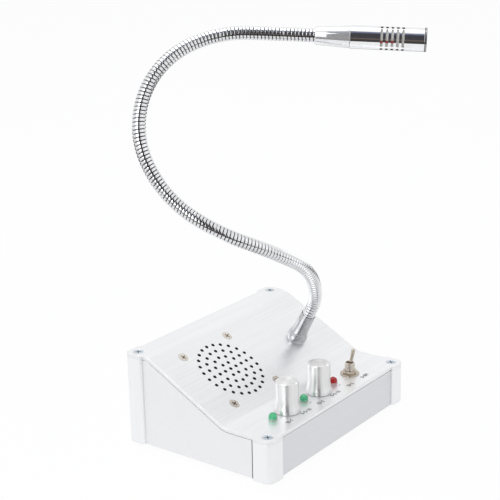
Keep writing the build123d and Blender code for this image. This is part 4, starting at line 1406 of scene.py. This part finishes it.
@dataclass
class Microphone:
    """The chromed microphone: tapered tail, slotted barrel, lining and nose ring."""

    line: CentreLine
    body: str = "neck_9"
    around: int = 96
    tail_length: float = 20.0 * MM
    tail_start_radius: float = 5.3 * MM
    tail_end_radius: float = 6.5 * MM
    tail_start_edge: float = 0.5 * MM
    tail_end_edge: float = 0.2 * MM
    tail_bore: float = 4.0 * MM
    tail_lip: float = 0.1 * MM
    tail_lip_depth: float = 0.6 * MM
    tail_gap: float = 0.15 * MM
    step_radius: float = 5.9 * MM
    step_bore: float = 5.0 * MM
    barrel_length: float = 42.5 * MM
    barrel_radius: float = 6.75 * MM
    bore_radius: float = 5.85 * MM
    barrel_edge: float = 0.15 * MM
    end_stop: float = 0.2 * MM
    slot_start: float = 17.2 * MM
    slot_pitch: float = 3.05 * MM
    slot_width: float = 1.5 * MM
    slot_rim: float = 0.12 * MM
    slot_count: int = 5
    bridge_half: float = 1.1 * MM
    foam_radius: float = 4.9 * MM
    foam_edge: float = 0.6 * MM
    foam_behind: float = 4.0 * MM
    foam_before: float = 8.0 * MM
    foam_steps: int = 48
    wire_radius: float = 0.7 * MM
    wire_edge: float = 0.2 * MM
    wire_drop: float = 1.9 * MM
    wire_start: float = 1.0 * MM
    wire_spare: float = 10.5 * MM
    wire_tilt: float = math.radians(-3.0)
    wire_steps: int = 20
    nose_length: float = 1.0 * MM
    nose_radius: float = 6.9 * MM
    nose_bore: float = 5.0 * MM
    nose_seat: float = 0.7 * MM
    nose_foot: float = 0.1 * MM
    nose_edge: float = 0.4 * MM
    lip_radius: float = 5.7 * MM

    def place(self, ahead: float = 0.0) -> Matrix:
        """The frame across the microphone, its X level and its Z ahead.

        Args:
            ahead: The distance ahead of the neck's end.

        Returns:
            The frame.
        """
        end = self.line.station(self.line.hinge_distances()[-1] + ahead)
        z = end.to_3x3().col[2]
        x = UP.cross(z).normalized()
        return frame_at(end.translation, x, z.cross(x), z)

    def build(self) -> None:
        """Make the tail, the barrel, the nose and the lining."""
        self.tail()
        self.barrel()
        self.nose()
        self.lining()

    def tail(self) -> None:
        """Make the tapered tail with rounded ends."""
        end = self.tail_length - self.tail_gap
        maker = PieceMaker("microphone_tail")
        maker.turned(self.place(), softened([
            (self.tail_bore - self.tail_lip, self.tail_lip_depth, 0.0), (self.tail_bore, 0.0, self.tail_lip),
            (self.tail_start_radius, 0.0, self.tail_start_edge),
            (self.tail_end_radius, end, self.tail_end_edge), (self.step_radius, end, 0.0),
            (self.step_bore, end - self.tail_gap, 0.0)]), self.around)
        maker.fix(self.body, SATIN_CHROME, "mic_tail")

    def in_slot(self, ahead: float, across: float) -> bool:
        """Whether a place on the barrel is cut away.

        Args:
            ahead: Its distance from the barrel's rear.
            across: Its distance to the side of the bridges' middle.

        Returns:
            True in a slot.
        """
        step, within = divmod(ahead - self.slot_start, self.slot_pitch)
        return 0 <= step < self.slot_count and within < self.slot_width and abs(across) > self.bridge_half

    def barrel_stops(self) -> list[float]:
        """The barrel's cross-sections, from its rear.

        Returns:
            Their distances.
        """
        stops = [0.0, self.barrel_edge, 2 * self.barrel_edge]
        for k in range(self.slot_count):
            start = self.slot_start + k * self.slot_pitch
            end = start + self.slot_width
            stops += [start - self.slot_rim, start, end, end + self.slot_rim]
        return [*stops, *(self.barrel_length - self.end_stop * k for k in (2, 1, 0))]

    def barrel(self) -> None:
        """Make the barrel with its ring slots and a bridge above and below."""
        stops = self.barrel_stops()
        angles = [FULL_TURN * k / self.around for k in range(self.around + 1)]
        reach = math.asin(self.bridge_half / self.barrel_radius)
        for middle in (math.pi / 2, 3 * math.pi / 2):
            angles += [middle - reach, middle + reach]
        angles = sorted(angles)
        place = self.place(self.tail_length)

        def wall(radius: float, edge: float) -> list[list[Vector]]:
            """Rows of points on a tube, narrower by an edge at both ends.

            Args:
                radius: The tube's radius.
                edge: How much less the radius is at the ends.

            Returns:
                The rows.
            """
            rows = []
            for z in stops:
                r = radius - edge if z in (stops[0], stops[-1]) else radius
                rows.append([place @ polar(r, angle, z) for angle in angles])
            return rows

        def solid(i: int, j: int) -> bool:
            """Whether the barrel has metal after a stop and an angle.

            Args:
                i: The stop's number.
                j: The angle's number.

            Returns:
                True outside the slots.
            """
            if not 0 <= i < len(stops) - 1:
                return False
            middle = (angles[j] + angles[(j + 1) % len(angles)]) / 2
            return not self.in_slot((stops[i] + stops[i + 1]) / 2, self.barrel_radius * math.cos(middle))

        outer = wall(self.barrel_radius, self.barrel_edge)
        inner = wall(self.bore_radius, 0.0)
        maker = PieceMaker("microphone_barrel")
        maker.grid(outer, solid)
        maker.grid(inner, solid)
        last = len(angles) - 1
        for i in range(len(stops)):
            for j in range(last):
                if solid(i, j) != solid(i - 1, j):
                    maker.face([outer[i][j], outer[i][j + 1], inner[i][j + 1], inner[i][j]])
                if i < len(stops) - 1 and solid(i, j) != solid(i, (j + 1) % last):
                    maker.face([outer[i][j + 1], outer[i + 1][j + 1], inner[i + 1][j + 1], inner[i][j + 1]])
        maker.fix(self.body, CHROME, "mic_barrel")

    def lining(self) -> None:
        """Make the pale foam sleeve and the two red wires seen through the slots."""
        place = self.place(self.tail_length)
        start = self.slot_start - self.foam_behind
        end = self.barrel_length - self.foam_before
        foam = PieceMaker("microphone_foam")
        foam.turned(place, softened([
            (0.0, start, 0.0), (self.foam_radius, start, self.foam_edge),
            (self.foam_radius, end, self.foam_edge), (0.0, end, 0.0)]), self.foam_steps)
        foam.fix(self.body, FOAM, "capsule_boot")
        reach = end - start - self.wire_spare
        for side, sign in (("left", -1), ("right", 1)):
            rise = Matrix.Translation((sign * self.foam_radius, -self.wire_drop, start + self.wire_start))
            wire = PieceMaker(f"microphone_wire_{side}")
            wire.turned(place @ rise @ Matrix.Rotation(self.wire_tilt, 4, "X"), softened([
                (0.0, 0.0, 0.0), (self.wire_radius, 0.0, self.wire_edge),
                (self.wire_radius, reach, self.wire_edge), (0.0, reach, 0.0)]), self.wire_steps)
            wire.fix(self.body, RED_RUBBER)

    def nose(self) -> None:
        """Make the rim at the microphone's front."""
        long, out, inside, seat = self.nose_length, self.nose_radius, self.nose_bore, self.nose_seat
        foot = self.nose_foot
        maker = PieceMaker("microphone_rim")
        maker.turned(self.place(self.tail_length + self.barrel_length), softened([
            (inside, 0.0, 0.0), (out - foot, 0.0, 0.0), (out, 3 * foot, 1.5 * foot),
            (out, long, self.nose_edge), (self.lip_radius, long, self.nose_edge / 2),
            (self.lip_radius - 2 * foot, seat, foot), (inside, seat, 0.0), (inside, 0.0, 0.0)]), self.around)
        maker.fix(self.body, CHROME)


# Studio


@dataclass(frozen=True)
class Card:
    """A card on a side of the object, flat on the floor or upright, which only polished metal reflects.

    Attributes:
        azimuth: Its side, in degrees from the front, rising to the right.
        near: How far out its lower or nearer edge is.
        low: How high that edge is.
        far: How far out its upper or farther edge is.
        high: How high that edge is.
        wide: Its width.
        colour: The colour it glows in.
    """

    azimuth: float
    near: float
    low: float
    far: float
    high: float
    wide: float
    colour: Colour


ON_FLOOR = 0.001
CARDS = (
    Card(-56.0, 1.1, 0.25, 1.1, 1.5, 0.6, (0.065, 0.062, 0.072)),
    Card(-56.0, 1.1, 1.5, 0.75, 1.8, 0.6, (0.2, 0.23, 0.34)),
    Card(-56.0, 1.1, 0.0, 1.1, 0.25, 0.6, (0.16, 0.13, 0.115)),
    Card(-56.0, 0.3, ON_FLOOR, 1.1, ON_FLOOR, 0.95, (0.07, 0.062, 0.06)),
    Card(21.0, 0.4, ON_FLOOR, 1.1, ON_FLOOR, 0.26, (0.13, 0.13, 0.14)),
    Card(179.0, 0.35, ON_FLOOR, 1.1, ON_FLOOR, 0.5, (0.16, 0.16, 0.17)),
    Card(88.0, 0.3, ON_FLOOR, 1.1, ON_FLOOR, 0.8, (0.26, 0.26, 0.27)),
    Card(160.0, 0.3, ON_FLOOR, 1.1, ON_FLOOR, 0.8, (0.26, 0.26, 0.27)),
)


@dataclass(frozen=True)
class SoftLamp:
    """A square lamp that looks at the object: its name, its place, its side and its power."""

    name: str
    spot: tuple[float, float, float]
    size: float
    power: float


LAMPS = (
    SoftLamp("key", (-1.2, -0.1, 0.7), 0.9, 5.2),
    SoftLamp("fill", (0.3, -1.2, 0.8), 0.9, 0.5),
    SoftLamp("top", (0.0, 0.3, 1.5), 1.1, 6.5),
)


@dataclass
class Studio:
    """Floor, cards, lights, world and camera."""

    white: Colour = (1.0, 1.0, 1.0)
    sky: Colour = (0.95, 0.97, 1.0)
    sky_strength: float = 0.62
    floor_half: float = 3.0
    floor_tones: tuple[Colour, Colour] = ((0.93, 0.93, 0.93), (0.95, 0.95, 0.95))
    floor_glow: float = 0.94
    matt: float = 0.9
    card_shade: float = 0.8
    gloss: float = 0.2
    aim: tuple[float, float, float] = (0.0, 0.0, 0.08)
    azimuth: float = math.radians(-52.66)
    elevation: float = math.radians(17.05)
    roll: float = math.radians(-1.31)
    distance: float = 753.16 * MM
    target: tuple[float, float, float] = (-25.07 * MM, 0.0, 120.38 * MM)
    sensor: float = 36.0
    lens: float = 95.15
    shift: tuple[float, float] = (0.0181, -0.0141)
    clip: tuple[float, float] = (0.01, 20.0)

    def build(self) -> None:
        """Set up everything that isn't part of the object."""
        self.world()
        self.floor()
        for index, card in enumerate(CARDS):
            self.card(card, index + 1)
        for lamp in LAMPS:
            self.lamp(lamp)
        self.camera()

    @staticmethod
    def seen(nodes: Nodes) -> Wire:
        """1 where the camera, a reflection or a clear piece looks, else 0.

        Args:
            nodes: The tree that asks.

        Returns:
            The answer.
        """
        camera, glossy, clear = (nodes.add("LightPath", output=f"Is {ray} Ray")
                                 for ray in ("Camera", "Glossy", "Transmission"))
        return camera.at_least(glossy).at_least(clear)

    def world(self) -> None:
        """Set a white world to the eye and a plain soft one to the surfaces."""
        world = bpy.data.worlds.new("studio")
        world.use_nodes = True
        bpy.context.scene.world = world
        nodes = Nodes(world.node_tree)
        soft = nodes.add("Background", {"Color": self.sky, "Strength": self.sky_strength})
        white = nodes.add("Background", {"Color": self.white, "Strength": 1.0})
        mixed = nodes.add("MixShader", {0: self.seen(nodes), 1: soft, 2: white})
        nodes.add("OutputWorld", {"Surface": mixed})

    def floor(self) -> None:
        """Make a plain white floor that keeps the object's shadow."""
        maker = PieceMaker("floor")
        half = self.floor_half
        maker.face([Vector((x * half, y * half, 0.0)) for x, y in ((-1, -1), (1, -1), (1, 1), (-1, 1))])
        floor = maker.build()
        shader = Shader("floor white")
        shader.set(Roughness=self.matt, Base_Color=shader.mix(shader.noise(3.0), *self.floor_tones))
        glow = shader.add("Emission", {"Color": self.white, "Strength": 1.0})
        shader.show(shader.add("MixShader", {0: self.seen(shader) * self.floor_glow, 1: shader.lit, 2: glow}))
        floor.data.materials.append(shader.material)

    def card(self, card: Card, number: int) -> None:
        """Make a card that only reflections see.

        Args:
            card: The card.
            number: The number in its name.
        """
        turn = math.radians(card.azimuth)
        out = RIGHT * math.sin(turn) - BACK * math.cos(turn)
        side = (RIGHT * math.cos(turn) + BACK * math.sin(turn)) * card.wide / 2
        low_edge = out * card.near + UP * card.low
        high_edge = out * card.far + UP * card.high
        maker = PieceMaker(f"card_{number}")
        maker.face([low_edge - side, low_edge + side, high_edge + side, high_edge - side])
        piece = maker.build()
        shader = Shader(f"card {number}")
        shade = tuple(self.card_shade * part for part in card.colour)
        light = shader.mix(shader.noise(2.0, 1.0), shade, card.colour)
        shader.show(shader.add("Emission", {"Color": light, "Strength": 1.0}))
        piece.data.materials.append(shader.material)
        piece.visible_camera = False
        piece.visible_diffuse = False
        piece.visible_shadow = False

    def lamp(self, lamp: SoftLamp) -> None:
        """Hang a large soft lamp.

        Args:
            lamp: The lamp.
        """
        light = bpy.data.lights.new(lamp.name, "AREA")
        light.size = lamp.size
        light.energy = lamp.power
        light.specular_factor = self.gloss
        hung = bpy.data.objects.new(lamp.name, light)
        hung.location = lamp.spot
        hung.rotation_euler = (Vector(self.aim) - Vector(lamp.spot)).to_track_quat("-Z", "Y").to_euler()
        bpy.context.scene.collection.objects.link(hung)

    def camera(self) -> None:
        """Set the camera at the photograph's angle, for a square picture."""
        data = bpy.data.cameras.new("camera")
        data.sensor_width = self.sensor
        data.lens = self.lens
        data.shift_x, data.shift_y = self.shift
        data.clip_start, data.clip_end = self.clip
        out = RIGHT * math.sin(self.azimuth) - BACK * math.cos(self.azimuth)
        back = out * math.cos(self.elevation) + UP * math.sin(self.elevation)
        right = UP.cross(back).normalized()
        up = back.cross(right)
        cosine, sine = math.cos(self.roll), math.sin(self.roll)
        camera = bpy.data.objects.new("camera", data)
        camera.matrix_world = frame_at(Vector(self.target) + back * self.distance,
                                       right * cosine + up * sine, up * cosine - right * sine, back)
        bpy.context.scene.collection.objects.link(camera)
        bpy.context.scene.camera = camera


def main() -> None:
    """Build the object's pieces in order, then the studio."""
    logging.basicConfig(level=logging.INFO, format="%(message)s")
    bpy.context.scene.view_settings.view_transform = "Standard"
    Case().build()
    InnerPieces().dress()
    for node, finish in zip(LAMP_X, (LEFT_GREEN, RIGHT_GREEN, RED)):
        Lamp(node, finish).build()
    for side in KNOB_X:
        VolumeKnob(side).build()
    ToggleSwitch().build()
    line = CentreLine()
    Gooseneck(line).build()
    Microphone(line).build()
    Studio().build()


if __name__ == "__main__":
    main()
